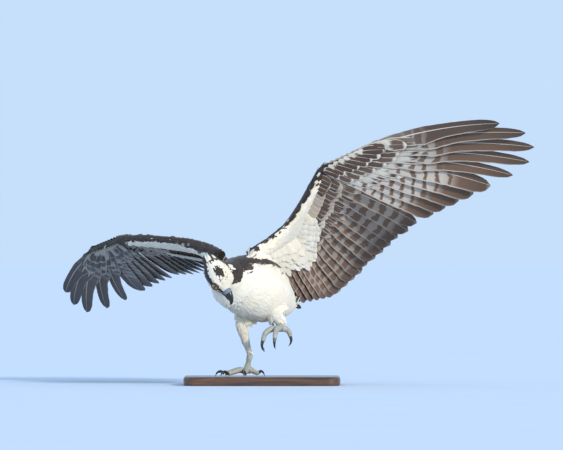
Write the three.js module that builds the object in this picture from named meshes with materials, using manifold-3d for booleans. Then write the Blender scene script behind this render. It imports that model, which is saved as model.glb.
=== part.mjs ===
// A life-size osprey standing on one foot on a flat display base.
// The left wing is raised and spread, the right wing is held out level behind the head,
// the head looks down, and the left foot is drawn up under the belly.
// Millimetres, +Z up, the bird faces towards -X and -Y.
// The origin is the centre of the underside of the base.

import * as THREE from 'three';
import { mergeVertices } from 'three/addons/utils/BufferGeometryUtils.js';
import Module from 'manifold-3d';

const wasm = await Module();
wasm.setup();

const point = (x, y, z) => new THREE.Vector3(x, y, z);
const unit = (x, y, z) => point(x, y, z).normalize();

// Driving dimensions
const gap = 0.3;
const seamTolerance = 0.05;
const shortestEdge = 0.05;
const flattestFace = 0.01;
const slightestArea = 0.001;
const baseSize = point(320, 260, 18);
const baseCorner = 26;
const baseBevel = 3;
const baseTop = baseSize.z;
const standingLevel = baseTop + gap;

// Body: the axis runs from the breast back to the root of the tail
const bodyRoll = 0.2;
const bodyLeft = unit(0.77 * Math.cos(bodyRoll), -0.63 * Math.cos(bodyRoll), Math.sin(bodyRoll));
const torsoStations = [
  { centre: point(-84, -90, 218), halfWidth: 22, halfDepth: 22 },
  { centre: point(-75, -76, 215), halfWidth: 39, halfDepth: 41 },
  { centre: point(-60, -58, 211), halfWidth: 51, halfDepth: 53 },
  { centre: point(-40, -38, 206), halfWidth: 59, halfDepth: 63 },
  { centre: point(-16, -14, 200), halfWidth: 61, halfDepth: 68 },
  { centre: point(6, 12, 192), halfWidth: 54, halfDepth: 66 },
  { centre: point(25, 40, 182), halfWidth: 42, halfDepth: 53 },
  { centre: point(40, 66, 173), halfWidth: 31, halfDepth: 38 },
  { centre: point(50, 88, 167), halfWidth: 22, halfDepth: 24 },
  { centre: point(55, 104, 163), halfWidth: 13, halfDepth: 12 },
];

// Head frame: forward along the bill, right and crown, from the middle between the eyes
const eyeMiddle = point(-79.2, -135, 212);
const headForward = unit(0.509, -0.276, -0.816);
const headRight = unit(-0.80, -0.50, -0.33);
const headUp = new THREE.Vector3().crossVectors(headRight, headForward).normalize();
const eyeRadius = 8.2;
const eyeAside = 18.4;
const eyeAhead = 1;
const eyeHeight = 1;
const lidThickness = 1.7;
const lidOpen = 6;
const crestCount = 7;
const crestLength = 25;

// Tail: nearly in line with the view, turned about its own length
const tailRoot = point(55, 90, 166);
const tailAim = unit(0.04, 0.99, -0.07);
const tailLeft = unit(0.70, -0.03, 0.71);
const tailLength = 214;
const tailFeathers = 12;
const tailFan = 0.14;
const tailStack = 9;

// Feather thickness, and the slope of each feather about its shaft,
// which keeps one clear of the next
const featherThickness = 0.9;
const covertThickness = 0.8;
const featherSlope = 0.13;
const primarySlope = 0.17;

const primaryLengths = [290, 350, 372, 368, 342, 306, 282, 264, 250, 240];
const primaryWidth = 42;
const fingerCount = 5;
const secondaryCount = 14;
const secondaryLength = 224;
const secondaryWidth = 40;
const tertialCount = 3;
const featherCurve = 0.035;
const fanShare = 0.12;
const fanReach = 2.5;

// Each wing: its leading edge, its joints, and the aims of its flight feathers,
// by order from the outermost primary (0) to the innermost tertial (26)
const leftWing = {
  name: 'left',
  turn: 1,
  shoulder: point(-16, -30, 262),
  elbow: point(68, 78, 300),
  wrist: point(122, -28, 438),
  fingertip: point(231, -72, 492),
  leadStart: point(-32, -52, 268),
  leadControl: point(54, 0, 300),
  leadWrist: point(116, -36, 446),
  aims: [
    { order: 0, aim: unit(0.89, -0.42, 0.160) },
    { order: 2, aim: unit(0.94, -0.33, 0.025) },
    { order: 5, aim: unit(0.96, -0.19, -0.170) },
    { order: 9, aim: unit(0.91, 0.02, -0.360) },
    { order: 12, aim: unit(0.74, 0.46, -0.415) },
    { order: 16, aim: unit(0.56, 0.67, -0.470) },
    { order: 20, aim: unit(0.43, 0.71, -0.540) },
    { order: 26, aim: unit(0.33, 0.72, -0.600) },
  ],
};
const rightWing = {
  name: 'right',
  turn: -1,
  shoulder: point(-82, 12, 258),
  elbow: point(-122, 150, 272),
  wrist: point(-290, 205, 297),
  fingertip: point(-350, 300, 272),
  leadStart: point(-90, -8, 268),
  leadControl: point(-160, 75, 308),
  leadWrist: point(-296, 192, 301),
  aims: [
    { order: 0, aim: unit(-0.235, 0.93, -0.290) },
    { order: 2, aim: unit(-0.096, 0.93, -0.350) },
    { order: 5, aim: unit(0.190, 0.93, -0.300) },
    { order: 9, aim: unit(0.400, 0.86, -0.310) },
    { order: 12, aim: unit(0.410, 0.86, -0.270) },
    { order: 16, aim: unit(0.370, 0.90, -0.180) },
    { order: 20, aim: unit(0.340, 0.93, -0.120) },
    { order: 26, aim: unit(0.340, 0.93, -0.080) },
  ],
};

// Legs: hip, knee, heel and foot, in order
const toeDips = [0.1, 0.65, 1.2];
const clawDips = [1.3, 1.75, 2.25];
const standingLeg = {
  name: 'right',
  path: [point(-22, 14, 168), point(-40, -4, 132), point(-35, 6, 96), point(-26, 16, 66)],
  radii: [27, 17, 11.5, 7.2],
  heel: point(-25, 18, 60),
  foot: point(-31, -22, standingLevel + 11),
  curled: false,
  toes: [
    { name: 'inner', aim: 4.62, length: 40, claw: 26 },
    { name: 'middle', aim: 3.86, length: 50, claw: 28 },
    { name: 'outer', aim: 3.16, length: 45, claw: 26 },
    { name: 'hind', aim: 0.75, length: 30, claw: 26 },
  ],
};
const raisedLeg = {
  name: 'left',
  path: [point(20, -14, 158), point(34, -30, 138), point(40, -24, 132), point(43, -14, 131)],
  radii: [25, 17, 11, 7.2],
  heel: point(43.5, -10, 130),
  foot: point(36, -52, 116),
  curled: true,
  toes: [
    { name: 'inner', aim: 4.4, length: 38, claw: 25 },
    { name: 'middle', aim: 3.6, length: 46, claw: 27 },
    { name: 'outer', aim: 2.9, length: 42, claw: 25 },
    { name: 'hind', aim: 0.5, length: 28, claw: 25 },
  ],
};

// Finishes
const finish = (color, roughness) => new THREE.MeshStandardMaterial({ color, roughness, metalness: 0 });
const whitePlumage = finish(0xe9e4da, 0.9);
const darkPlumage = finish(0x3a2c25, 0.85);
const barredPlumage = finish(0x8d7a6b, 0.85);
const billHorn = finish(0x17181b, 0.35);
const clawHorn = finish(0x121212, 0.35);
const scalySkin = finish(0xaeb5a6, 0.6);
const yellowEye = finish(0xe8a516, 0.15);
const lacqueredWood = finish(0x2b211b, 0.45);

// Closed geometry to a solid that can be joined and cut, and back
function solid(geometry) {
  const bare = geometry.clone();
  bare.deleteAttribute('normal');
  bare.deleteAttribute('uv');
  const merged = mergeVertices(bare, 1e-4);
  return new wasm.Manifold(new wasm.Mesh({
    numProp: 3,
    vertProperties: new Float32Array(merged.attributes.position.array),
    triVerts: new Uint32Array(merged.index.array),
  }));
}

function geometryOf(body) {
  const mesh = body.getMesh();
  const geometry = new THREE.BufferGeometry();
  geometry.setAttribute('position', new THREE.BufferAttribute(new Float32Array(mesh.vertProperties), 3));
  geometry.setIndex(new THREE.BufferAttribute(new Uint32Array(mesh.triVerts), 1));
  geometry.computeVertexNormals();
  return geometry;
}

// The main body of what a join or cut leaves, without the slivers along its seams
function largestBody(body) {
  const bodies = body.decompose();
  const main = bodies.reduce((best, next) => (next.volume() > best.volume() ? next : best));
  return main.simplify(seamTolerance);
}

// Whether a triangle turns its face round when one of its corners moves
function turnsOver(places, face, from, to) {
  const before = new THREE.Triangle(...face.map((v) => places[v]));
  const after = new THREE.Triangle(...face.map((v) => places[v === from ? to : v]));
  const facing = before.getNormal(point(0, 0, 0)).dot(after.getNormal(point(0, 0, 0)));
  return facing < 0.3 || after.getArea() < slightestArea;
}

// Closes up edges that are too short for a surface read back from a file
function closeShortEdges(places, faces) {
  const around = places.map(() => new Set());
  faces.forEach((face, index) => face.forEach((v) => around[v].add(index)));
  const neighbours = (v) => new Set([...around[v]].flatMap((index) => faces[index]));
  const canMove = (from, to) => {
    const near = neighbours(to);
    const shared = [...neighbours(from)].filter((v) => near.has(v) && v !== from && v !== to);
    const staying = [...around[from]].map((index) => faces[index]).filter((face) => !face.includes(to));
    return shared.length === 2 && !staying.some((face) => turnsOver(places, face, from, to));
  };
  const move = (from, to) => {
    for (const index of around[from]) {
      if (faces[index].includes(to)) {
        faces[index].forEach((v) => v !== from && around[v].delete(index));
        faces[index] = [];
      } else {
        faces[index] = faces[index].map((v) => (v === from ? to : v));
        around[to].add(index);
      }
    }
    around[from].clear();
  };
  for (let index = 0; index < faces.length; index += 1) {
    for (let corner = 0; corner < 3 && faces[index].length; corner += 1) {
      const a = faces[index][corner];
      const b = faces[index][(corner + 1) % 3];
      if (places[a].distanceTo(places[b]) < shortestEdge) {
        if (canMove(a, b)) {
          move(a, b);
        } else if (canMove(b, a)) {
          move(b, a);
        }
      }
    }
  }
  return faces.filter((face) => face.length);
}

// Turns the shared edge of a triangle that is nearly a line, so that both halves open up
function openFlatFaces(places, faces) {
  const edges = new Map();
  const key = (a, b) => a * places.length + b;
  const note = (face, index) => face.forEach((v, corner) => edges.set(key(v, face[(corner + 1) % 3]), index));
  faces.forEach(note);
  const height = (face) => {
    const [a, b, c] = face.map((v) => places[v]);
    const longest = Math.max(a.distanceTo(b), b.distanceTo(c), c.distanceTo(a));
    return (2 * new THREE.Triangle(a, b, c).getArea()) / longest;
  };
  for (let index = 0; index < faces.length; index += 1) {
    if (height(faces[index]) < flattestFace) {
      const spans = faces[index].map((v, corner) => places[v].distanceTo(places[faces[index][(corner + 1) % 3]]));
      const start = spans.indexOf(Math.max(...spans));
      const [a, b, c] = [0, 1, 2].map((step) => faces[index][(start + step) % 3]);
      const other = edges.get(key(b, a));
      const d = faces[other].find((v) => v !== a && v !== b);
      const halves = [[a, d, c], [d, b, c]];
      const open = Math.min(...halves.map(height)) > Math.min(height(faces[index]), height(faces[other]));
      if (open && !edges.has(key(c, d)) && !edges.has(key(d, c))) {
        edges.delete(key(a, b));
        edges.delete(key(b, a));
        [faces[index], faces[other]] = halves;
        note(faces[index], index);
        note(faces[other], other);
      }
    }
  }
  return faces;
}

// The same solid without the slivers that joins and cuts leave along their seams
function withoutSlivers(body) {
  const mesh = body.getMesh();
  const places = [];
  for (let v = 0; v < mesh.numVert; v += 1) {
    places.push(point(0, 0, 0).fromArray(mesh.vertProperties, v * mesh.numProp));
  }
  let faces = [];
  for (let start = 0; start < mesh.triVerts.length; start += 3) {
    faces.push(Array.from(mesh.triVerts.slice(start, start + 3)));
  }
  faces = openFlatFaces(places, closeShortEdges(places, faces));
  const geometry = new THREE.BufferGeometry();
  const flat = places.flatMap((place) => [place.x, place.y, place.z]);
  geometry.setAttribute('position', new THREE.Float32BufferAttribute(flat, 3));
  geometry.setIndex(faces.flat());
  return solid(geometry);
}

// Join pieces, cut away neighbours, and keep the one main body
function fuse(pieces, cutters = []) {
  let body = pieces.reduce((all, piece) => all.add(piece));
  for (const cutter of cutters) {
    body = body.subtract(cutter);
  }
  const cleaned = largestBody(withoutSlivers(largestBody(body)));
  return withoutSlivers(cleaned);
}

// Skin over rings of points; every ring has the same count, and both ends are closed
function loft(rings) {
  const count = rings[0].length;
  const positions = rings.flat().flatMap((p) => [p.x, p.y, p.z]);
  const faces = [];
  const corner = (ring, index) => ring * count + (index % count);
  for (let ring = 0; ring < rings.length - 1; ring += 1) {
    for (let index = 0; index < count; index += 1) {
      const a = corner(ring, index);
      const b = corner(ring, index + 1);
      const c = corner(ring + 1, index + 1);
      const d = corner(ring + 1, index);
      faces.push(a, b, c, a, c, d);
    }
  }
  const close = (ring, turned) => {
    const middle = rings[ring].reduce((sum, p) => sum.add(p), point(0, 0, 0)).divideScalar(count);
    const tip = positions.length / 3;
    positions.push(middle.x, middle.y, middle.z);
    for (let index = 0; index < count; index += 1) {
      const a = corner(ring, index);
      const b = corner(ring, index + 1);
      faces.push(...(turned ? [tip, b, a] : [tip, a, b]));
    }
  };
  close(0, true);
  close(rings.length - 1, false);
  return closedSolid(positions, faces);
}

function closedSolid(positions, faces) {
  const geometry = new THREE.BufferGeometry();
  geometry.setAttribute('position', new THREE.Float32BufferAttribute(positions, 3));
  geometry.setIndex(faces);
  const body = solid(geometry);
  if (body.volume() > 0) {
    return body;
  }
  for (let face = 0; face < faces.length; face += 3) {
    [faces[face + 1], faces[face + 2]] = [faces[face + 2], faces[face + 1]];
  }
  geometry.setIndex(faces);
  return solid(geometry);
}

// One ring: an oval round a centre, egg-shaped where front is not zero
function oval(centre, side, up, halfWidth, halfDepth, count, front = 0) {
  const ring = [];
  for (let index = 0; index < count; index += 1) {
    const turn = (index / count) * Math.PI * 2;
    const across = Math.cos(turn) * halfWidth;
    const tall = Math.sin(turn) * halfDepth * (1 + front * Math.cos(turn));
    ring.push(centre.clone().addScaledVector(side, across).addScaledVector(up, tall));
  }
  return ring;
}

// A round limb along a smooth path with its own radius at each station
function limb(path, radii, sides, stations, grow = 0) {
  const curve = new THREE.CatmullRomCurve3(path, false, 'centripetal');
  const rings = [];
  let side = point(1, 0, 0);
  for (let step = 0; step <= stations; step += 1) {
    const t = step / stations;
    const along = curve.getTangent(t);
    const up = new THREE.Vector3().crossVectors(along, side).normalize();
    side = new THREE.Vector3().crossVectors(up, along).normalize();
    const centre = curve.getPoint(t);
    const place = t * (radii.length - 1);
    const index = Math.min(Math.floor(place), radii.length - 2);
    const radius = THREE.MathUtils.lerp(radii[index], radii[index + 1], place - index) + grow;
    rings.push(oval(centre, side, up, radius, radius, sides));
  }
  return loft(rings);
}

// Body
function torsoSolid(grow = 0) {
  const rings = torsoStations.map((station, index) => {
    const before = torsoStations[Math.max(index - 1, 0)].centre;
    const after = torsoStations[Math.min(index + 1, torsoStations.length - 1)].centre;
    const along = after.clone().sub(before).normalize();
    const up = new THREE.Vector3().crossVectors(bodyLeft, along).normalize().negate();
    const side = new THREE.Vector3().crossVectors(along, up).normalize();
    return oval(station.centre, side, up, station.halfWidth + grow, station.halfDepth + grow, 24);
  });
  return loft(rings);
}

// A place in the head's own frame
function headPlace(ahead, right, up) {
  return eyeMiddle.clone()
    .addScaledVector(headForward, ahead)
    .addScaledVector(headRight, right)
    .addScaledVector(headUp, up);
}

const headStations = [
  { ahead: -50, up: -3, halfWidth: 8, halfDepth: 8 },
  { ahead: -45, up: -3, halfWidth: 19, halfDepth: 17 },
  { ahead: -34, up: -2, halfWidth: 26, halfDepth: 24 },
  { ahead: -20, up: -1, halfWidth: 29, halfDepth: 27 },
  { ahead: -6, up: -1, halfWidth: 28, halfDepth: 26 },
  { ahead: 5, up: -2, halfWidth: 24, halfDepth: 22 },
  { ahead: 13, up: -4, halfWidth: 18, halfDepth: 17 },
  { ahead: 20, up: -6, halfWidth: 12, halfDepth: 12.5 },
  { ahead: 25, up: -7, halfWidth: 8.5, halfDepth: 9 },
];

function headSolid(grow = 0) {
  const rings = headStations.map((station) => oval(
    headPlace(station.ahead, 0, station.up),
    headRight,
    headUp,
    station.halfWidth + grow,
    station.halfDepth + grow,
    20,
  ));
  return loft(rings);
}

function eyeSolid(side, grow = 0) {
  const ball = new THREE.SphereGeometry(eyeRadius + grow, 12, 8);
  const centre = headPlace(eyeAhead, side * eyeAside, eyeHeight);
  ball.translate(centre.x, centre.y, centre.z);
  return solid(ball);
}

// The upper bill arches over and hooks down; the lower bill lies under it
function upperBill(grow = 0) {
  const stations = [
    { ahead: 18, up: -4, halfWidth: 8.5, halfDepth: 8 },
    { ahead: 25, up: -4, halfWidth: 7.8, halfDepth: 7.5 },
    { ahead: 32, up: -5, halfWidth: 6.6, halfDepth: 6.6 },
    { ahead: 38, up: -8, halfWidth: 5.2, halfDepth: 5.6 },
    { ahead: 42, up: -13, halfWidth: 3.6, halfDepth: 4 },
    { ahead: 43, up: -19, halfWidth: 2, halfDepth: 2.2 },
    { ahead: 42, up: -24, halfWidth: 0.8, halfDepth: 0.8 },
  ];
  return alongHead(stations, 12, grow);
}

function lowerBill(grow = 0) {
  const stations = [
    { ahead: 16, up: -15, halfWidth: 6.5, halfDepth: 3.2 },
    { ahead: 24, up: -14.6, halfWidth: 5.8, halfDepth: 2.8 },
    { ahead: 31, up: -14.8, halfWidth: 4.6, halfDepth: 2.2 },
    { ahead: 36, up: -15.6, halfWidth: 2.4, halfDepth: 1.4 },
  ];
  return alongHead(stations, 10, grow);
}

function alongHead(stations, sides, grow) {
  const rings = stations.map((station, index) => {
    const before = stations[Math.max(index - 1, 0)];
    const after = stations[Math.min(index + 1, stations.length - 1)];
    const along = headPlace(after.ahead, 0, after.up).sub(headPlace(before.ahead, 0, before.up)).normalize();
    const up = new THREE.Vector3().crossVectors(headRight, along).normalize();
    return oval(
      headPlace(station.ahead, 0, station.up),
      headRight,
      up,
      station.halfWidth + grow,
      station.halfDepth + grow,
      sides,
    );
  });
  return loft(rings);
}

function neckSolid(grow = 0) {
  const path = [headPlace(-36, 0, -4), point(-93, -106, 232), point(-78, -80, 222), point(-54, -54, 214)];
  return limb(path, [21, 27, 37, 44], 16, 5, grow);
}

// Wing arm: an aerofoil that runs from the leading edge back past the bones
function leadingEdge(wing, t) {
  if (t <= 1) {
    return new THREE.QuadraticBezierCurve3(wing.leadStart, wing.leadControl, wing.leadWrist).getPoint(t);
  }
  const tip = wing.fingertip.clone().lerp(wing.leadWrist, 0.02);
  return wing.leadWrist.clone().lerp(tip, t - 1);
}

function boneLine(wing, t) {
  const elbowAt = 0.45;
  if (t <= elbowAt) {
    return wing.shoulder.clone().lerp(wing.elbow, t / elbowAt);
  }
  if (t <= 1) {
    return wing.elbow.clone().lerp(wing.wrist, (t - elbowAt) / (1 - elbowAt));
  }
  return wing.wrist.clone().lerp(wing.fingertip, t - 1);
}

const armStations = [
  { at: -0.02, behind: 22, thick: 34 },
  { at: 0.15, behind: 22, thick: 32 },
  { at: 0.3, behind: 20, thick: 29 },
  { at: 0.45, behind: 18, thick: 26 },
  { at: 0.62, behind: 16, thick: 24 },
  { at: 0.8, behind: 15, thick: 22 },
  { at: 0.96, behind: 16, thick: 20 },
  { at: 1.0, behind: 17, thick: 19 },
  { at: 1.25, behind: 17, thick: 17 },
  { at: 1.55, behind: 15, thick: 14 },
  { at: 1.85, behind: 10, thick: 12 },
  { at: 2.0, behind: 6, thick: 9 },
];

function armRing(wing, station, grow, shift) {
  const lead = leadingEdge(wing, Math.max(station.at, 0));
  const bone = boneLine(wing, Math.max(station.at, 0));
  const chord = bone.clone().sub(lead).normalize();
  const step = 0.04;
  const along = leadingEdge(wing, station.at + step).sub(leadingEdge(wing, Math.max(station.at - step, 0))).normalize();
  const up = new THREE.Vector3().crossVectors(chord, along).normalize();
  if (up.z < 0 || (wing === leftWing && up.y > 0.9)) {
    up.negate();
  }
  const rear = bone.clone().addScaledVector(chord, station.behind);
  const centre = lead.clone().add(rear).multiplyScalar(0.5);
  const normalSpan = new THREE.Vector3().crossVectors(chord, up).normalize();
  const outward = normalSpan.dot(along) > 0 ? normalSpan : normalSpan.negate();
  centre.addScaledVector(outward, shift);
  const halfChord = lead.distanceTo(rear) / 2 + grow;
  return oval(centre, chord, up, halfChord, station.thick / 2 + grow, 14, -0.3);
}

function armSolid(wing, from, to, grow = 0) {
  const stations = armStations.filter((station) => station.at >= from && station.at <= to);
  const rings = stations.map((station, index) => {
    const inset = grow > 0 ? 0.04 : gap / 2;
    const atStart = index === 0 ? inset : 0;
    const atEnd = index === stations.length - 1 ? inset : 0;
    return armRing(wing, station, grow, atStart - atEnd);
  });
  return loft(rings);
}

// Flight feathers by order, from the outermost primary inward
const primaryCount = primaryLengths.length;
const featherCount = primaryCount + secondaryCount + tertialCount;

function flightAim(wing, order) {
  const after = wing.aims.findIndex((key) => key.order >= order);
  const upper = wing.aims[Math.max(after, 1)];
  const lower = wing.aims[Math.max(after, 1) - 1];
  const share = (order - lower.order) / (upper.order - lower.order);
  return lower.aim.clone().lerp(upper.aim, THREE.MathUtils.clamp(share, 0, 1)).normalize();
}

// Where along the arm a feather grows, in the same terms as the arm's stations
function rootPlace(order) {
  if (order <= primaryCount - 1) {
    return 1.94 - (order / (primaryCount - 1)) * 0.88;
  }
  const inward = (order - primaryCount + 0.8) / (secondaryCount + tertialCount);
  return 0.98 - inward * 0.8;
}

function flightRoot(wing, order) {
  return boneLine(wing, rootPlace(order));
}

function flightLength(order) {
  if (order <= primaryCount - 1) {
    const whole = Math.floor(order);
    const next = Math.min(whole + 1, primaryCount - 1);
    return THREE.MathUtils.lerp(primaryLengths[whole], primaryLengths[next], order - whole);
  }
  const pastMiddle = Math.max(order - primaryCount - secondaryCount / 2, 0);
  return secondaryLength - pastMiddle * 5.5;
}

function flightStation(wing, order) {
  const inRange = THREE.MathUtils.clamp(order, 0, featherCount - 1);
  return flightRoot(wing, inRange).addScaledVector(flightAim(wing, inRange), flightLength(inRange) * fanShare);
}

// The outward direction across a feather and its upper face follow the fan of its neighbours
function flightFrame(wing, order) {
  const aim = flightAim(wing, order);
  const outward = flightStation(wing, order - fanReach).sub(flightStation(wing, order + fanReach));
  outward.addScaledVector(aim, -outward.dot(aim)).normalize();
  const up = new THREE.Vector3().crossVectors(outward, aim).multiplyScalar(wing.turn);
  return { aim, outward, up };
}

function flightFeather(wing, order) {
  const { aim, outward, up } = flightFrame(wing, order);
  const isFinger = order < fingerCount;
  return {
    root: flightRoot(wing, order),
    aim,
    outward,
    up,
    length: flightLength(order),
    width: order < primaryCount ? primaryWidth : secondaryWidth,
    outline: isFinger ? fingerOutline : quillOutline,
    curve: featherCurve,
    slope: order < primaryCount ? primarySlope : featherSlope,
  };
}

// Outlines of feathers: how far along, and how wide on the outer and on the inner side
const fingerOutline = [
  { along: 0, outer: 0.10, inner: 0.14 },
  { along: 0.18, outer: 0.24, inner: 0.42 },
  { along: 0.42, outer: 0.28, inner: 0.66 },
  { along: 0.56, outer: 0.24, inner: 0.46 },
  { along: 0.80, outer: 0.24, inner: 0.36 },
  { along: 0.93, outer: 0.20, inner: 0.24 },
  { along: 1, outer: 0.04, inner: 0.05 },
];
const quillOutline = [
  { along: 0, outer: 0.10, inner: 0.14 },
  { along: 0.22, outer: 0.28, inner: 0.48 },
  { along: 0.60, outer: 0.34, inner: 0.64 },
  { along: 0.86, outer: 0.33, inner: 0.58 },
  { along: 0.95, outer: 0.24, inner: 0.40 },
  { along: 1, outer: 0.07, inner: 0.10 },
];
const covertOutline = [
  { along: 0, outer: 0.26, inner: 0.26 },
  { along: 0.72, outer: 0.46, inner: 0.50 },
  { along: 1, outer: 0.14, inner: 0.14 },
];
const crestOutline = [
  { along: 0, outer: 0.40, inner: 0.40 },
  { along: 0.5, outer: 0.46, inner: 0.46 },
  { along: 1, outer: 0.06, inner: 0.06 },
];

// One feather: a thin blade that slopes about its shaft, bows backward and tapers
function vane({ root, aim, outward, up, length, width, outline, curve = 0, slope = featherSlope,
  thickness = featherThickness, grow = 0 }) {
  const across = outward.clone().addScaledVector(up, slope).normalize();
  const normal = up.clone().addScaledVector(outward, -slope).normalize();
  const rows = outline.map(({ along, outer, inner }) => {
    const bow = 4 * along * (1 - along) * curve * length;
    const shaft = root.clone().addScaledVector(aim, along * length).addScaledVector(across, bow);
    shaft.addScaledVector(aim, grow * (2 * along - 1));
    const half = normal.clone().multiplyScalar(thickness * (1 - 0.5 * along) / 2 + grow);
    return {
      left: shaft.clone().addScaledVector(across, outer * width + grow),
      right: shaft.clone().addScaledVector(across, -inner * width - grow),
      halfLeft: half,
      halfRight: half,
    };
  });
  return slab(rows);
}

// A thin sheet with two faces alike: each row has a left and a right point and half the thickness
function slab(rows) {
  const positions = [];
  const add = (p) => positions.push(p.x, p.y, p.z);
  rows.forEach(({ left, right, halfLeft, halfRight }) => {
    add(left.clone().add(halfLeft));
    add(right.clone().add(halfRight));
    add(right.clone().sub(halfRight));
    add(left.clone().sub(halfLeft));
  });
  const faces = [0, 2, 1, 0, 3, 2];
  for (let row = 0; row < rows.length - 1; row += 1) {
    const [a, b, c, d] = [0, 1, 2, 3].map((corner) => row * 4 + corner);
    const [e, f, g, h] = [4, 5, 6, 7].map((corner) => row * 4 + corner);
    faces.push(a, b, f, a, f, e);
    faces.push(d, g, c, d, h, g);
    faces.push(a, e, h, a, h, d);
    faces.push(b, c, g, b, g, f);
  }
  const [p, q, r, s] = [0, 1, 2, 3].map((corner) => (rows.length - 1) * 4 + corner);
  faces.push(p, q, r, p, r, s);
  return closedSolid(positions, faces);
}

function flightRun(wing, first, last, grow = 0) {
  const run = [];
  for (let order = first; order <= last; order += 1) {
    run.push(vane({ ...flightFeather(wing, order), grow }));
  }
  return run;
}

// Coverts lie over the roots of the flight feathers, above (side 1) and below (side -1)
const covertRows = {
  greater: { share: 0.42, lift: 4.4, tilt: 0.03, forward: 0, width: 24, stride: 1 },
  median: { share: 0.25, lift: 7.6, tilt: 0.07, forward: 4, width: 24, stride: 1 },
};

function covertRun(wing, first, last, side, grow = 0) {
  const run = [];
  const rows = first === 0 || side > 0 ? [covertRows.greater] : [covertRows.greater, covertRows.median];
  rows.forEach((row) => {
    for (let order = first; order < last; order += row.stride) {
      const { aim, outward, up } = flightFrame(wing, order + 0.5);
      const tilted = aim.clone().addScaledVector(up, side * row.tilt).normalize();
      const root = flightRoot(wing, order + 0.5)
        .addScaledVector(up, side * row.lift)
        .addScaledVector(aim, -row.forward);
      run.push(vane({
        root,
        aim: tilted,
        outward,
        up,
        length: flightLength(order + 0.5) * row.share,
        width: row.width,
        outline: covertOutline,
        slope: order < primaryCount ? primarySlope : featherSlope,
        thickness: covertThickness,
        grow,
      }));
    }
  });
  return run;
}

// Tail
function tailFeather(index) {
  const spread = ((index + 0.5) / tailFeathers - 0.5) * 2;
  const aim = tailAim.clone().addScaledVector(tailLeft, spread * tailFan).normalize();
  const up = new THREE.Vector3().crossVectors(tailLeft, tailAim).normalize();
  const lift = (1 - Math.abs(spread)) * tailStack + (spread > 0 ? tailStack / tailFeathers : 0);
  return {
    root: tailRoot.clone().addScaledVector(tailLeft, spread * 17).addScaledVector(up, lift),
    aim,
    outward: tailLeft.clone().multiplyScalar(Math.sign(spread)),
    up,
    length: tailLength * (1 - 0.05 * Math.abs(spread)),
    width: 38,
    outline: quillOutline,
    slope: -0.04,
  };
}

function tailSolid(grow = 0) {
  const up = tailFeather(0).up;
  const core = loft([
    oval(tailRoot, tailLeft, up, 17 + grow, 12 + grow, 12),
    oval(tailRoot.clone().addScaledVector(tailAim, 20), tailLeft, up, 22 + grow, 13 + grow, 12),
    oval(tailRoot.clone().addScaledVector(tailAim, 44), tailLeft, up, 18 + grow, 10 + grow, 12),
  ]);
  const feathers = [];
  for (let index = 0; index < tailFeathers; index += 1) {
    feathers.push(vane({ ...tailFeather(index), grow }));
  }
  return [core, ...feathers];
}

// Feet: the toes lie flat on the base, or curl down and round where the foot is raised
function curledLine(start, aim, dips, stride) {
  const line = [start];
  dips.forEach((dip) => {
    const next = line[line.length - 1].clone().addScaledVector(aim, stride * Math.cos(dip));
    next.z -= stride * Math.sin(dip);
    line.push(next);
  });
  return line;
}

function toeLine(leg, toe) {
  const aim = point(Math.cos(toe.aim), Math.sin(toe.aim), 0);
  const place = (along, up) => leg.foot.clone().addScaledVector(aim, along).add(point(0, 0, up));
  if (leg.curled) {
    return curledLine(place(5, 0), aim, toeDips, toe.length / toeDips.length);
  }
  return [place(5, 0), place(toe.length * 0.35, 2), place(toe.length * 0.7, -2), place(toe.length, -5)];
}

function clawLine(leg, toe) {
  const aim = point(Math.cos(toe.aim), Math.sin(toe.aim), 0);
  if (leg.curled) {
    return curledLine(toeLine(leg, toe).pop(), aim, clawDips, toe.claw * 0.3);
  }
  const place = (along, up) => leg.foot.clone().addScaledVector(aim, toe.length + along).add(point(0, 0, up));
  return [place(1, -5), place(toe.claw * 0.35, -1), place(toe.claw * 0.62, -4), place(toe.claw * 0.75, -10.4)];
}

function toeSolid(leg, toe, grow = 0) {
  return limb(toeLine(leg, toe), [6.5, 6, 5, 4.2].map((radius) => radius + grow), 8, 4);
}

function clawSolid(leg, toe) {
  return limb(clawLine(leg, toe), [3.4, 2.8, 1.8, 0.5], 6, 4);
}

function footHub(leg, grow = 0) {
  return limb(
    [leg.heel, leg.heel.clone().lerp(leg.foot, 0.5).add(point(0, 0, 1)), leg.foot.clone().add(point(0, 0, 1))],
    [6.4, 5, 8].map((radius) => radius + grow),
    10,
    6,
  );
}

function thighSolid(leg, grow = 0) {
  return limb(leg.path, leg.radii, 14, 6, grow);
}

// Base: a rounded slab with a bevelled rim
function baseSolid() {
  const half = baseSize.clone().multiplyScalar(0.5);
  const outline = new THREE.Shape();
  const inner = { x: half.x - baseBevel, y: half.y - baseBevel };
  const corner = baseCorner - baseBevel;
  outline.absarc(inner.x - corner, inner.y - corner, corner, 0, Math.PI / 2, false);
  outline.absarc(-inner.x + corner, inner.y - corner, corner, Math.PI / 2, Math.PI, false);
  outline.absarc(-inner.x + corner, -inner.y + corner, corner, Math.PI, Math.PI * 1.5, false);
  outline.absarc(inner.x - corner, -inner.y + corner, corner, Math.PI * 1.5, Math.PI * 2, false);
  const slab = new THREE.ExtrudeGeometry(outline, {
    depth: baseSize.z - 2 * baseBevel,
    bevelEnabled: true,
    bevelThickness: baseBevel,
    bevelSize: baseBevel,
    bevelSegments: 1,
    curveSegments: 5,
  });
  slab.translate(0, 0, baseBevel);
  return solid(slab);
}

const model = new THREE.Group();

function addPart(name, body, material) {
  const mesh = new THREE.Mesh(geometryOf(body), material);
  mesh.name = name;
  model.add(mesh);
}

function floorCut() {
  const block = new THREE.BoxGeometry(600, 600, 200);
  block.translate(0, 0, standingLevel - 100);
  return solid(block);
}

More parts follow.
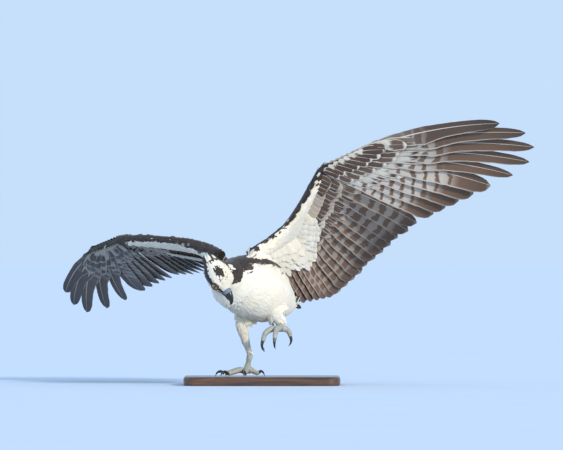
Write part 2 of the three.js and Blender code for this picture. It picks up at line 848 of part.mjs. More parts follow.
function addHead() {
  const eyes = [solidOfEye('left'), solidOfEye('right')];
  const bill = upperBill(gap).add(lowerBill(gap));
  const forms = eyes.flatMap((eye) => [lidShell(eye.side), browRidge(eye.side)]);
  const cuts = eyes.flatMap((eye) => [lidOpening(eye.side), eye.socket, mouthLine(eye.side)]);
  addPart('head', fuse([headSolid(), ...forms, ...crestLocks()], [...cuts, bill]), whitePlumage);
  eyes.forEach((eye) => addPart(`eye_${eye.name}`, eye.body, yellowEye));
  addPart('bill_upper', fuse([upperBill()], [nostril(-1), nostril(1)]), billHorn);
  addPart('bill_lower', fuse([lowerBill()], [upperBill(gap)]), billHorn);
}

function solidOfEye(name) {
  const side = name === 'right' ? 1 : -1;
  return { name, side, body: eyeSolid(side), socket: eyeSolid(side, gap) };
}

// The way an eye looks, to its own side and forward
function eyeAxis(side) {
  return point(0, 0, 0)
    .addScaledVector(headRight, side * 0.88)
    .addScaledVector(headForward, 0.42)
    .addScaledVector(headUp, 0.16)
    .normalize();
}

// The lids: a shell over the eyeball, open where the eye looks out
function lidShell(side) {
  return eyeSolid(side, lidThickness);
}

function lidOpening(side) {
  const axis = eyeAxis(side);
  const centre = headPlace(eyeAhead, side * eyeAside, eyeHeight);
  const reach = (distance) => centre.clone().addScaledVector(axis, distance);
  return limb([reach(eyeRadius * 0.4), reach(eyeRadius), reach(eyeRadius + 8)], [lidOpen, lidOpen, lidOpen], 10, 1);
}

// The brow: a ridge that shades the eye and runs back over it
function browRidge(side) {
  const place = (ahead, aside, up) => headPlace(ahead, side * aside, up);
  return limb([place(14, 12, 6.5), place(7, 20, 10), place(-3, 23.5, 11), place(-14, 23.5, 9)], [1, 2.3, 2.3, 1], 6, 4);
}

// The line of the mouth runs from the bill back under the eye
function mouthLine(side) {
  const place = (ahead, aside, up) => headPlace(ahead, side * aside, up);
  return limb([place(22, 9.5, -12), place(13, 16, -13), place(5, 20.8, -14)], [0.9, 1.1, 0.5], 5, 3);
}

function nostril(side) {
  const place = (ahead, up) => headPlace(ahead, side * 7.9, up);
  return limb([place(22.6, -3), place(24, -1.6), place(25.4, -0.2)], [0.6, 0.9, 0.6], 6, 2);
}

// The crest: pointed locks over the nape, longest in the middle
function crestLocks() {
  const locks = [];
  for (let index = 0; index < crestCount; index += 1) {
    const share = (index / (crestCount - 1)) * 2 - 1;
    const turn = share * 1.05;
    const around = headRight.clone().multiplyScalar(Math.sin(turn)).addScaledVector(headUp, Math.cos(turn));
    const root = headPlace(-33, 0, -2).addScaledVector(around, 22);
    const aim = headForward.clone().multiplyScalar(-1).addScaledVector(around, 0.22).normalize();
    const outward = new THREE.Vector3().crossVectors(around, headForward).normalize();
    locks.push(vane({
      root,
      aim,
      outward,
      up: new THREE.Vector3().crossVectors(outward, aim).normalize(),
      length: crestLength * (1 - 0.3 * Math.abs(share)),
      width: 9,
      outline: crestOutline,
      slope: 0.16,
      thickness: 1.4,
    }));
  }
  return locks;
}

function addWing(wing, neighbours) {
  const firstTertial = primaryCount + secondaryCount;
  const bothSides = (first, last) => [...covertRun(wing, first, last, 1), ...covertRun(wing, first, last, -1)];
  const hand = [armSolid(wing, 1, 2), ...flightRun(wing, 0, primaryCount - 1), ...bothSides(0, primaryCount - 1)];
  const forearm = [
    armSolid(wing, 0.45, 1),
    ...flightRun(wing, primaryCount, firstTertial - 1),
    ...bothSides(primaryCount, firstTertial - 1),
  ];
  const upper = [
    armSolid(wing, -0.02, 0.45),
    ...flightRun(wing, firstTertial, featherCount - 1),
    ...bothSides(firstTertial, featherCount - 1),
  ];
  addPart(`hand_${wing.name}`, fuse(hand, [armSolid(wing, 0.45, 1, gap)]), barredPlumage);
  const handAndUpper = [armSolid(wing, 1, 2, gap), armSolid(wing, -0.02, 0.45, gap)];
  const innerEdge = [
    ...flightRun(wing, firstTertial - 1, firstTertial - 1, gap),
    ...covertRun(wing, firstTertial - 3, firstTertial - 1, 1, gap),
    ...covertRun(wing, firstTertial - 2, firstTertial - 1, -1, gap),
  ];
  addPart(`forearm_${wing.name}`, fuse(forearm, handAndUpper), barredPlumage);
  addPart(`upper_arm_${wing.name}`, fuse(upper, [armSolid(wing, 0.45, 1, gap), ...innerEdge, ...neighbours]), darkPlumage);
}

function addLeg(leg) {
  const floor = floorCut();
  const toes = leg.toes.map((toe) => ({ toe, body: toeSolid(leg, toe) }));
  const hub = footHub(leg);
  addPart(`thigh_${leg.name}`, fuse([thighSolid(leg)], [torsoSolid(gap)]), whitePlumage);
  addPart(`tarsus_${leg.name}`, fuse([hub], [thighSolid(leg, gap), floor]), scalySkin);
  let taken = footHub(leg, gap);
  toes.forEach(({ toe, body }) => {
    addPart(`toe_${toe.name}_${leg.name}`, fuse([body], [taken, floor]), scalySkin);
    addPart(`claw_${toe.name}_${leg.name}`, fuse([clawSolid(leg, toe)], [toeSolid(leg, toe, gap), floor]), clawHorn);
    taken = taken.add(toeSolid(leg, toe, gap));
  });
}

const torsoKeepOut = torsoSolid(gap);
addPart('stand_base', baseSolid(), lacqueredWood);
addPart('torso', fuse([torsoSolid()]), whitePlumage);
addPart('neck', fuse([neckSolid()], [torsoKeepOut, headSolid(gap), eyeSolid(-1, gap), eyeSolid(1, gap)]), whitePlumage);
addHead();
addPart('tail', fuse(tailSolid(), [torsoKeepOut]), barredPlumage);
addWing(leftWing, [torsoKeepOut, neckSolid(gap), ...tailSolid(gap)]);
addWing(rightWing, [torsoKeepOut, neckSolid(gap), ...tailSolid(gap)]);
addLeg(standingLeg);
addLeg(raisedLeg);

export default model;
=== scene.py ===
import math
import bmesh
import bpy
import numpy as np
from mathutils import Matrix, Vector, noise
from mathutils.bvhtree import BVHTree


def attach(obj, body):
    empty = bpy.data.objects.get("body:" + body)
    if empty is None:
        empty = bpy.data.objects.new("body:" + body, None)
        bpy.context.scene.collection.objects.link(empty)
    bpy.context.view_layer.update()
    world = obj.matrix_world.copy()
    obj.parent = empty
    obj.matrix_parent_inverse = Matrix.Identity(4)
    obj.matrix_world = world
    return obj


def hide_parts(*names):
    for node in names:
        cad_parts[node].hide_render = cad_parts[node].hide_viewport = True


# Looks of the osprey on its display base: skin, feathers, eyes, bill, feet, light and camera.
# Lengths are in millimetres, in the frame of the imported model, until a mesh is made.

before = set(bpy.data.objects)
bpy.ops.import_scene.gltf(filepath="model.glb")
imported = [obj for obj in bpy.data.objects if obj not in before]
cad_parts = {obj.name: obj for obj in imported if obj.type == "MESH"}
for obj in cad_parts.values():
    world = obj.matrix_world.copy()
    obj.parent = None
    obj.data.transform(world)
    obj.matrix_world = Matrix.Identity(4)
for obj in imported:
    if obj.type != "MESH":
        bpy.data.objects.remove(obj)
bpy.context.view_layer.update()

MM = 0.001
draw = np.random.default_rng(11)


def vec(*values):
    return np.array(values, float)


def unit(values):
    values = np.asarray(values, float)
    return values / np.maximum(np.linalg.norm(values, axis=-1, keepdims=True), 1e-9)


def paint(red, green, blue):
    """A screen colour from 0 to 255, as the linear light that shaders mix."""
    share = np.array([red, green, blue]) / 255
    return np.where(share < 0.04045, share / 12.92, ((share + 0.055) / 1.055) ** 2.4)


WHITE = paint(229, 222, 206)
CREAM = paint(222, 202, 164)
PALE = paint(206, 198, 186)
BROWN = paint(110, 82, 62)
RUFOUS = paint(150, 108, 78)
DARK = paint(44, 33, 29)

# Dimensions shared with the solids
gap = 0.3
base_top = 18
standing_level = base_top + gap
coat_depth = 3.0
vane_sharpness = math.radians(65)

body_roll = 0.2
body_left = unit(vec(0.77 * math.cos(body_roll), -0.63 * math.cos(body_roll), math.sin(body_roll)))
torso_stations = [
    (vec(-84, -90, 218), 22, 22),
    (vec(-75, -76, 215), 39, 41),
    (vec(-60, -58, 211), 51, 53),
    (vec(-40, -38, 206), 59, 63),
    (vec(-16, -14, 200), 61, 68),
    (vec(6, 12, 192), 54, 66),
    (vec(25, 40, 182), 42, 53),
    (vec(40, 66, 173), 31, 38),
    (vec(50, 88, 167), 22, 24),
    (vec(55, 104, 163), 13, 12),
]
back_up = unit(vec(-0.02, 0.278, 0.968))

eye_middle = vec(-79.2, -135, 212)
head_forward = unit(vec(0.509, -0.276, -0.816))
head_right = unit(vec(-0.80, -0.50, -0.33))
head_up = unit(np.cross(head_right, head_forward))
eye_radius = 8.2
eye_aside = 18.4
eye_ahead = 1
eye_height = 1
head_stations = [
    (-50, -3, 8, 8),
    (-45, -3, 19, 17),
    (-34, -2, 26, 24),
    (-20, -1, 29, 27),
    (-6, -1, 28, 26),
    (5, -2, 24, 22),
    (13, -4, 18, 17),
    (20, -6, 12, 12.5),
    (25, -7, 8.5, 9),
]

tail_root = vec(55, 90, 166)
tail_aim = unit(vec(0.04, 0.99, -0.07))
tail_left = unit(vec(0.70, -0.03, 0.71))
tail_up = unit(np.cross(tail_left, tail_aim))
tail_length = 214
tail_feathers = 12
tail_fan = 0.14
tail_stack = 9

primary_lengths = [290, 350, 372, 368, 342, 306, 282, 264, 250, 240]
primary_count = len(primary_lengths)
primary_width = 42
finger_count = 5
secondary_count = 14
secondary_length = 224
secondary_width = 40
tertial_count = 3
first_tertial = primary_count + secondary_count
feather_count = first_tertial + tertial_count
feather_curve = 0.035
feather_slope = 0.13
primary_slope = 0.17
fan_share = 0.12
bar_scale = 20.0
fan_reach = 2.5
aim_orders = [0, 2, 5, 9, 12, 16, 20, 26]

left_wing = {
    "name": "left",
    "turn": 1,
    # The factor below darkens the under side colours of this wing's feathers as painted shade; 1.0 paints no
    # shade.
    "painted_shade_factor": 1.0,
    "dark_front": -0.12,
    "shoulder": vec(-16, -30, 262),
    "elbow": vec(68, 78, 300),
    "wrist": vec(122, -28, 438),
    "fingertip": vec(231, -72, 492),
    "lead": [vec(-32, -52, 268), vec(54, 0, 300), vec(116, -36, 446)],
    "aims": [
        (0.89, -0.42, 0.160),
        (0.94, -0.33, 0.025),
        (0.96, -0.19, -0.170),
        (0.91, 0.02, -0.360),
        (0.74, 0.46, -0.415),
        (0.56, 0.67, -0.470),
        (0.43, 0.71, -0.540),
        (0.33, 0.72, -0.600),
    ],
}
right_wing = {
    "name": "right",
    "turn": -1,
    # This wing's under side colours are painted at half brightness: painted shade.
    "painted_shade_factor": 0.5,
    "dark_front": 0.6,
    "shoulder": vec(-82, 12, 258),
    "elbow": vec(-122, 150, 272),
    "wrist": vec(-290, 205, 297),
    "fingertip": vec(-350, 300, 272),
    "lead": [vec(-90, -8, 268), vec(-160, 75, 308), vec(-296, 192, 301)],
    "aims": [
        (-0.235, 0.93, -0.290),
        (-0.096, 0.93, -0.350),
        (0.190, 0.93, -0.300),
        (0.400, 0.86, -0.310),
        (0.410, 0.86, -0.270),
        (0.370, 0.90, -0.180),
        (0.340, 0.93, -0.120),
        (0.340, 0.93, -0.080),
    ],
}
arm_stations = np.array([
    (-0.02, 22, 34),
    (0.15, 22, 32),
    (0.3, 20, 29),
    (0.45, 18, 26),
    (0.62, 16, 24),
    (0.8, 15, 22),
    (0.96, 16, 20),
    (1.0, 17, 19),
    (1.25, 17, 17),
    (1.55, 15, 14),
    (1.85, 10, 12),
    (2.0, 6, 9),
])

toe_dips = [0.1, 0.65, 1.2]
claw_dips = [1.3, 1.75, 2.25]
standing_leg = {
    "name": "right",
    "path": [vec(-22, 14, 168), vec(-40, -4, 132), vec(-35, 6, 96), vec(-26, 16, 66)],
    "radii": [27, 17, 11.5, 7.2],
    "heel": vec(-25, 18, 60),
    "foot": vec(-31, -22, standing_level + 11),
    "curled": False,
    "toes": [
        ("inner", 4.62, 40, 26),
        ("middle", 3.86, 50, 28),
        ("outer", 3.16, 45, 26),
        ("hind", 0.75, 30, 26),
    ],
}
raised_leg = {
    "name": "left",
    "path": [vec(20, -14, 158), vec(34, -30, 138), vec(40, -24, 132), vec(43, -14, 131)],
    "radii": [25, 17, 11, 7.2],
    "heel": vec(43.5, -10, 130),
    "foot": vec(36, -52, 116),
    "curled": True,
    "toes": [
        ("inner", 4.4, 38, 25),
        ("middle", 3.6, 46, 27),
        ("outer", 2.9, 42, 25),
        ("hind", 0.5, 28, 25),
    ],
}


# Shader building
class Paints:
    """One material, with short calls for the nodes that it is made of."""

    def __init__(self, name, roughness=0.7, **settings):
        self.material = bpy.data.materials.new(name)
        self.material.use_nodes = True
        self.tree = self.material.node_tree
        self.shader = self.tree.nodes["Principled BSDF"]
        self.shader.inputs["Roughness"].default_value = roughness
        for socket, value in settings.items():
            self.shader.inputs[socket.replace("_", " ")].default_value = value

    def add(self, kind, **settings):
        made = self.tree.nodes.new(kind)
        for key, value in settings.items():
            setattr(made, key, value)
        return made

    def feed(self, socket, value):
        if isinstance(value, bpy.types.NodeSocket):
            self.tree.links.new(value, socket)
        elif isinstance(value, (int, float)):
            socket.default_value = value
        else:
            socket.default_value = (*value, 1) if len(value) == 3 and socket.type == "RGBA" else value

    def maths(self, operation, first, second=0.0):
        made = self.add("ShaderNodeMath", operation=operation)
        self.feed(made.inputs[0], first)
        self.feed(made.inputs[1], second)
        return made.outputs[0]

    def times(self, first, second):
        return self.maths("MULTIPLY", first, second)

    def plus(self, first, second):
        return self.maths("ADD", first, second)

    def minus(self, first, second):
        return self.maths("SUBTRACT", first, second)

    def absolute(self, value):
        return self.maths("ABSOLUTE", value)

    def ramp(self, value, low, high, start=0.0, end=1.0):
        made = self.add("ShaderNodeMapRange", interpolation_type="SMOOTHSTEP")
        for index, entry in enumerate([value, low, high, start, end]):
            self.feed(made.inputs[index], entry)
        return made.outputs[0]

    def mix(self, share, first, second, **settings):
        made = self.add("ShaderNodeMix", data_type="RGBA", **settings)
        for socket, value in (("Factor", share), ("A", first), ("B", second)):
            self.feed(made.inputs[socket], value)
        return made.outputs["Result"]

    def shade(self, colour, share, amount):
        """Darkens a colour where share is high."""
        return self.mix(share, colour, (amount, amount, amount), blend_type="MULTIPLY")

    def place(self, x, y, z=0.0):
        made = self.add("ShaderNodeCombineXYZ")
        for socket, value in zip(made.inputs, (x, y, z)):
            self.feed(socket, value)
        return made.outputs[0]

    def noise(self, place, scale, detail=2.0, distortion=0.0):
        made = self.add("ShaderNodeTexNoise")
        self.feed(made.inputs["Vector"], place)
        made.inputs["Scale"].default_value = scale
        made.inputs["Detail"].default_value = detail
        made.inputs["Distortion"].default_value = distortion
        return made.outputs["Fac"]

    def stretched_noise(self, sources, scales, detail):
        """Noise over a place in which each source has its own scale."""
        place = self.place(*[self.times(source, scale) for source, scale in zip(sources, scales)])
        return self.noise(place, 1.0, detail)

    def attribute(self, name):
        return self.add("ShaderNodeAttribute", attribute_name=name)

    def colour(self, name):
        return self.attribute(name).outputs["Color"]

    def parts(self, colour):
        made = self.add("ShaderNodeSeparateColor")
        self.feed(made.inputs[0], colour)
        return made.outputs

    def map(self, name):
        made = self.add("ShaderNodeSeparateXYZ")
        self.feed(made.inputs[0], self.add("ShaderNodeUVMap", uv_map=name).outputs[0])
        return made.outputs[0], made.outputs[1]

    def vane(self):
        """A place on a vane, from -1 to 1 across it and from 0 to 1 along it."""
        share, along = self.map("vane")
        return self.minus(self.times(share, 2.0), 1.0), along

    def object_place(self):
        return self.add("ShaderNodeTexCoord").outputs["Object"]

    def bump(self, height, strength=0.3, distance=0.0005):
        made = self.add("ShaderNodeBump")
        made.inputs["Strength"].default_value = strength
        made.inputs["Distance"].default_value = distance
        self.feed(made.inputs["Height"], height)
        self.feed(self.shader.inputs["Normal"], made.outputs[0])

    def finish(self, colour):
        self.feed(self.shader.inputs["Base Color"], colour)
        return self.material


def barb_lines(paints, across, along, count=260.0):
    """Fine lines that run from the shaft out and towards the tip."""
    away = paints.absolute(across)
    slant = paints.minus(along, paints.times(away, 0.10))
    return paints.stretched_noise((slant, across), (count, 2.5), 2.0)


def feather_material(name, pattern):
    """Feathers: pattern makes the colour of the under side, from the marks that each vane carries."""
    paints = Paints(name, 0.62, Sheen_Weight=0.12)
    across, along = paints.vane()
    side, shaft = paints.map("kind")
    tint = paints.colour("tint")
    dusk = paints.colour("dusk")
    top = paints.colour("top")
    look = paints.attribute("look")
    red, green, blue = paints.parts(look.outputs["Color"])[:3]
    lines = barb_lines(paints, across, along)
    below = pattern(paints, across, along, tint, dusk, (red, green, blue, look.outputs["Alpha"]))
    edge = paints.ramp(paints.absolute(across), 0.82, 1.0)
    tip = paints.ramp(along, 0.93, 1.0)
    paler = paints.times(paints.maths("MAXIMUM", edge, tip), 0.28)
    above = paints.mix(paler, top, RUFOUS)
    colour = paints.mix(side, below, above)
    quill = paints.mix(side, paints.mix(0.45, tint, WHITE), paints.mix(0.3, top, BROWN))
    colour = paints.mix(shaft, colour, quill)
    colour = paints.shade(colour, paints.ramp(lines, 0.45, 0.7), 0.86)
    paints.bump(lines, 0.35, 0.0004)
    return paints.finish(colour)


def barred_pattern(paints, across, along, tint, dusk, look):
    """Pale and dark bars that fade into a dark end; look is chance, strength, dark end, bars."""
    chance, strength, dark_from, bars = look
    drift = paints.stretched_noise((across, along, chance), (1.4, 9.0, 40.0), 3.0)
    phase = paints.plus(paints.times(along, paints.times(bars, bar_scale)), paints.times(drift, 0.95))
    wave = paints.maths("SINE", paints.times(phase, 2 * math.pi))
    lean = paints.times(paints.minus(strength, 0.62), 2.4)
    pale = paints.ramp(paints.plus(wave, lean), -0.25, 0.45)
    inner = paints.ramp(across, -0.25, 0.12, 0.45, 1.0)
    rim = paints.ramp(across, 0.78, 0.98, 1.0, 0.55)
    end = paints.ramp(along, dark_from, paints.plus(dark_from, 0.14), 1.0, 0.0)
    start = paints.ramp(along, 0.0, 0.34, 0.0, 1.0)
    shown = paints.times(paints.times(pale, inner), paints.times(end, strength))
    shown = paints.times(paints.times(shown, rim), start)
    ground = paints.mix(paints.ramp(along, 0.0, 0.5, 0.35, 0.0), dusk, tint)
    ground = paints.shade(ground, paints.ramp(along, 0.72, 1.0), 0.55)
    trim = paints.times(paints.ramp(along, 0.965, 0.995), paints.ramp(dark_from, 0.55, 0.75, 0.0, 0.5))
    edge = paints.times(paints.ramp(across, 0.84, 0.95), paints.ramp(along, 0.70, 0.96, 0.75, 0.15))
    return paints.mix(paints.maths("MAXIMUM", trim, edge), paints.mix(shown, ground, tint), tint)


def spotted_pattern(paints, across, along, tint, dusk, look):
    """A dark heart near the tip inside a pale fringe; look is chance, strength, start, fringe."""
    chance, strength, start, fringe = look
    blur = paints.stretched_noise((across, along, chance), (2.0, 5.0, 40.0), 2.0)
    shift = paints.times(paints.minus(blur, 0.5), 0.35)
    near = paints.plus(along, shift)
    body = paints.ramp(near, start, paints.plus(start, 0.12))
    rim = paints.minus(1.0, fringe)
    away = paints.plus(paints.absolute(across), shift)
    inside = paints.ramp(away, paints.minus(rim, 0.12), rim, 1.0, 0.0)
    before = paints.ramp(along, paints.minus(rim, 0.04), paints.plus(rim, 0.03), 1.0, 0.0)
    shown = paints.times(paints.times(body, inside), paints.times(before, strength))
    return paints.mix(shown, tint, dusk)


def coat_material():
    """Small body feathers: each carries its own colour, darker at the root, with a softer edge."""
    paints = Paints("coat", 0.8, Sheen_Weight=0.2)
    across, along = paints.vane()
    tint = paints.colour("tint")
    dusk = paints.colour("dusk")
    lines = barb_lines(paints, across, along, 30.0)
    centre = paints.ramp(paints.absolute(across), 0.1, 0.9, 0.5, 0.0)
    colour = paints.mix(centre, tint, dusk)
    colour = paints.shade(colour, paints.ramp(lines, 0.4, 0.7), 0.9)
    paints.bump(lines, 0.25, 0.0003)
    return paints.finish(colour)


def skin_material():
    paints = Paints("skin", 0.85)
    tint = paints.colour("tint")
    grain = paints.noise(paints.object_place(), 900.0, 3.0)
    colour = paints.shade(tint, paints.ramp(grain, 0.35, 0.75), 0.75)
    paints.bump(grain, 0.4, 0.0005)
    return paints.finish(colour)


def iris_material():
    """The eye by distance from its axis: pupil, yellow iris with fine rays, dark rim."""
    paints = Paints("eye", 0.06, Coat_Weight=1.0, Coat_Roughness=0.02)
    angle, ring = paints.map("vane")
    rays = paints.stretched_noise((angle, ring), (60.0, 3.0), 3.0)
    yellow = paints.mix(paints.ramp(rays, 0.3, 0.7), paint(255, 196, 24), paint(232, 140, 10))
    yellow = paints.mix(paints.ramp(ring, 0.11, 0.15), paint(200, 110, 8), yellow)
    colour = paints.mix(paints.ramp(ring, 0.10, 0.11), paint(3, 3, 4), yellow)
    colour = paints.mix(paints.ramp(ring, 0.27, 0.30), colour, paint(12, 10, 10))
    return paints.finish(colour)


def horn_material(name, colour, second, roughness):
    """Bill and claws: dark horn with streaks along it and a dull bloom near the root."""
    paints = Paints(name, roughness, Coat_Weight=0.25, Coat_Roughness=0.25)
    around, along = paints.map("vane")
    streak = paints.stretched_noise((around, along), (24.0, 3.0), 4.0)
    mixed = paints.mix(paints.ramp(streak, 0.45, 0.75), colour, second)
    mixed = paints.mix(paints.ramp(along, 0.0, 0.35, 0.55, 0.0), mixed, second)
    paints.bump(streak, 0.15, 0.0002)
    return paints.finish(mixed)


def scaly_material(name, colour, crease):
    """Bare skin of the feet and cere: pale plates, darker in the creases between them."""
    paints = Paints(name, 0.55, Subsurface_Weight=0.05)
    height = paints.parts(paints.colour("look"))[0]
    patch = paints.noise(paints.object_place(), 140.0, 3.0)
    varied = paints.mix(paints.ramp(patch, 0.35, 0.7), colour, np.array(colour) * 0.78)
    mixed = paints.mix(paints.ramp(height, 0.05, 0.55, 0.8, 0.0), varied, crease)
    fine = paints.noise(paints.object_place(), 1600.0, 2.0)
    paints.bump(fine, 0.2, 0.0002)
    return paints.finish(mixed)


def wood_material():
    """Dark varnished wood: long grain along the base, pores and a soft gloss."""
    paints = Paints("base_wood", 0.34, Coat_Weight=0.35, Coat_Roughness=0.12)
    made = paints.add("ShaderNodeMapping")
    made.inputs["Scale"].default_value = (2.2, 26.0, 26.0)
    paints.feed(made.inputs["Vector"], paints.object_place())
    grain = paints.noise(made.outputs[0], 3.0, 6.0, 1.2)
    pores = paints.noise(made.outputs[0], 24.0, 3.0)
    colour = paints.mix(paints.ramp(grain, 0.3, 0.72), paint(58, 38, 27), paint(104, 70, 46))
    colour = paints.shade(colour, paints.ramp(pores, 0.52, 0.72), 0.7)
    paints.bump(pores, 0.12, 0.0003)
    return paints.finish(colour)


def floor_material():
    paints = Paints("floor", 0.9)
    grain = paints.noise(paints.object_place(), 3.0, 3.0)
    colour = paints.mix(paints.ramp(grain, 0.3, 0.7), paint(202, 215, 232), paint(204, 217, 234))
    return paints.finish(colour)


# Mesh making
def full_turn(sides):
    """Evenly spaced angles once round."""
    return np.linspace(0, 2 * math.pi, sides, endpoint=False)


def colour_points(mesh, name, values):
    """One colour for each point of a mesh."""
    full = np.ones((len(values), 4), np.float32)
    full[:, : values.shape[1]] = values
    layer = mesh.color_attributes.new(name=name, type="FLOAT_COLOR", domain="POINT")
    layer.data.foreach_set("color", full.ravel())


def quad_mesh(name, points, quads, material, marks, maps):
    """A smooth mesh of four-sided faces; marks are colours per point, maps are places per corner."""
    mesh = bpy.data.meshes.new(name)
    mesh.vertices.add(len(points))
    mesh.vertices.foreach_set("co", (np.asarray(points) * MM).astype(np.float32).ravel())
    mesh.loops.add(quads.size)
    mesh.loops.foreach_set("vertex_index", quads.astype(np.int32).ravel())
    mesh.polygons.add(len(quads))
    mesh.polygons.foreach_set("loop_start", np.arange(0, quads.size, 4, dtype=np.int32))
    mesh.update(calc_edges=True)
    mesh.polygons.foreach_set("use_smooth", np.ones(len(quads), bool))
    for key, values in (marks or {}).items():
        colour_points(mesh, key, values)
    for key, values in maps.items():
        mesh.uv_layers.new(name=key).data.foreach_set("uv", values.astype(np.float32).ravel())
    mesh.materials.append(material)
    piece = bpy.data.objects.new(name, mesh)
    bpy.context.scene.collection.objects.link(piece)
    return piece


def settle(piece, slot, *nodes):
    """Every piece rides on the one body and hides the solids that it stands for; slot is not used."""
    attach(piece, "root")
    if nodes:
        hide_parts(*nodes)
    return piece


def grid_cells(grid):
    return np.stack([grid[:-1, :-1], grid[:-1, 1:], grid[1:, 1:], grid[1:, :-1]], -1).reshape(-1, 4)


def ring_grid(count, sides):
    """The point numbers of rings, and the quads between one ring and the next."""
    grid = np.arange(count * sides).reshape(count, sides)
    return grid, grid_cells(np.concatenate([grid, grid[:, :1]], axis=1))


def blade_grid(rows, columns):
    """One closed blade: an upper and a lower sheet that share their rim."""
    upper = np.arange(rows * columns).reshape(rows, columns)
    lower = upper.copy()
    lower[1:-1, 1:-1] = rows * columns + np.arange((rows - 2) * (columns - 2)).reshape(rows - 2, columns - 2)
    quads = np.concatenate([grid_cells(upper), grid_cells(lower)[:, ::-1]])
    cells = (rows - 1) * (columns - 1)
    side = np.repeat([1.0, 0.0], cells)
    row = np.repeat(np.arange(rows), columns)
    column = np.tile(np.arange(columns), rows)
    inner_row = np.repeat(np.arange(1, rows - 1), columns - 2)
    inner_column = np.tile(np.arange(1, columns - 1), rows - 2)
    face = np.concatenate([np.ones(rows * columns), -np.ones(len(inner_row))])
    face[: rows * columns][(row == 0) | (row == rows - 1) | (column == 0) | (column == columns - 1)] = 0
    return quads, side, np.concatenate([row, inner_row]), np.concatenate([column, inner_column]), face


def shaft_grid(rows):
    """A four-sided rod: rings of corners and quads, with both ends closed."""
    ring, quads = ring_grid(rows, 4)
    ends = np.array([ring[0, ::-1], ring[-1]])
    return np.concatenate([quads[:, ::-1], ends])


def feather_batch(roots, aims, outward, up, lengths, widths, outline, rows=8, columns=5, slope=0.1, curve=0.0,
                  thick=0.5, camber=0.05, droop=0.0, tip=0.86, ragged=0.05, shaft=0.0):
    """Many feathers of one kind: their points, quads and the marks that follow the blade."""
    count = len(roots)
    quads, side, row, column, face = blade_grid(rows, columns)
    steps = np.linspace(0, 1, rows) ** (0.85 if rows > 7 else 0.6)
    along = steps[row]
    across = np.linspace(-1, 1, columns)[column]
    table = np.array(outline)
    outer = np.interp(along, table[:, 0], table[:, 1])
    inner = np.interp(along, table[:, 0], table[:, 2])
    rounding = np.sqrt(np.clip(1 - (np.clip(along - tip, 0, 1) / (1 - tip)) ** 2, 0.006, 1))
    half = np.where(across < 0, outer, inner) * rounding
    lengths = np.broadcast_to(lengths, count).astype(float)[:, None]
    widths = np.broadcast_to(widths, count).astype(float)[:, None]
    slope = np.broadcast_to(slope, count).astype(float)[:, None]
    droop = np.broadcast_to(droop, count).astype(float)[:, None]
    over = unit(outward + up * slope)
    normal = unit(up - outward * slope)
    tears = draw.random((count, rows, 2))[:, row, (across > 0).astype(int)]
    torn = 1 - ragged * tears * (np.abs(across) > 0.9)
    offset = -across * half * widths * torn
    bow = 4 * along * (1 - along) * curve * lengths
    lift = face * thick * 0.5 * (1 - 0.6 * along) - camber * widths * half * across**2
    sag = -droop * lengths * along**2
    points = (
        roots[:, None]
        + aims[:, None] * (lengths * along)[..., None]
        + over[:, None] * (offset + bow)[..., None]
        + normal[:, None] * lift[..., None]
        + up[:, None] * sag[..., None]
    )
    vanes = {
        "points": points.reshape(-1, 3),
        "quads": (quads[None] + (np.arange(count) * len(row))[:, None, None]).reshape(-1, 4),
        "owner": np.repeat(np.arange(count), len(row)),
        "corner_owner": np.repeat(np.arange(count), quads.size),
        "vane": np.tile(np.stack([across * 0.5 + 0.5, along], -1)[quads.ravel()], (count, 1)),
        "kind": np.tile(np.stack([np.repeat(side, 4), np.zeros(quads.size)], -1), (count, 1)),
    }
    if shaft <= 0:
        return vanes
    stops = np.linspace(0, 0.985, 10)
    thin = shaft * (1 - 0.88 * stops)
    corners = np.array([(1, 1), (-1, 1), (-1, -1), (1, -1)])
    middle = (
        roots[:, None]
        + aims[:, None] * (lengths * stops)[..., None]
        + over[:, None] * (4 * stops * (1 - stops) * curve * lengths)[..., None]
        + up[:, None] * (-droop * lengths * stops**2)[..., None]
    )
    rods = (
        middle[:, :, None]
        + over[:, None, None] * (corners[:, 0] * thin[:, None])[None, ..., None]
        + normal[:, None, None] * (corners[:, 1] * (thin * 0.8 + thick * 0.25)[:, None])[None, ..., None]
    )
    rod_quads = shaft_grid(len(stops))
    per_rod = len(stops) * 4
    start = len(vanes["points"])
    place = np.stack([np.full(per_rod, 0.5), np.repeat(stops, 4)], -1)
    upper = (np.tile(corners[:, 1], len(stops)) > 0).astype(float)[rod_quads].mean(axis=1)
    sides = np.repeat(np.round(upper), 4)
    rod_kind = np.stack([sides, np.ones(rod_quads.size)], -1)
    return {
        "points": np.concatenate([vanes["points"], rods.reshape(-1, 3)]),
        "quads": np.concatenate([
            vanes["quads"],
            (rod_quads[None] + start + (np.arange(count) * per_rod)[:, None, None]).reshape(-1, 4),
        ]),
        "owner": np.concatenate([vanes["owner"], np.repeat(np.arange(count), per_rod)]),
        "corner_owner": np.concatenate([vanes["corner_owner"], np.repeat(np.arange(count), rod_quads.size)]),
        "vane": np.concatenate([vanes["vane"], np.tile(place[rod_quads.ravel()], (count, 1))]),
        "kind": np.concatenate([vanes["kind"], np.tile(rod_kind, (count, 1))]),
    }


def sheet_map(batch, count):
    """Each feather has its own rectangle, its upper side beside its lower one."""
    across_cells = math.ceil(math.sqrt(count * 2))
    down_cells = math.ceil(count / across_cells)
    owner = batch["corner_owner"]
    cell = np.stack([owner % across_cells, owner // across_cells], -1)
    side = batch["kind"][:, 0]
    x = 0.04 + 0.44 * batch["vane"][:, 0] + 0.48 * side
    y = 0.04 + 0.92 * batch["vane"][:, 1]
    return (cell + np.stack([x, y], -1)) / np.array([across_cells, down_cells])


def tuft_map(batch, unwrap):
    """Each small feather is a patch at its root's place on the unwrap of the skin's shape."""
    patch = 0.003
    return np.clip(unwrap[batch["corner_owner"]] + (batch["vane"] - 0.5) * patch, 0.001, 0.999)


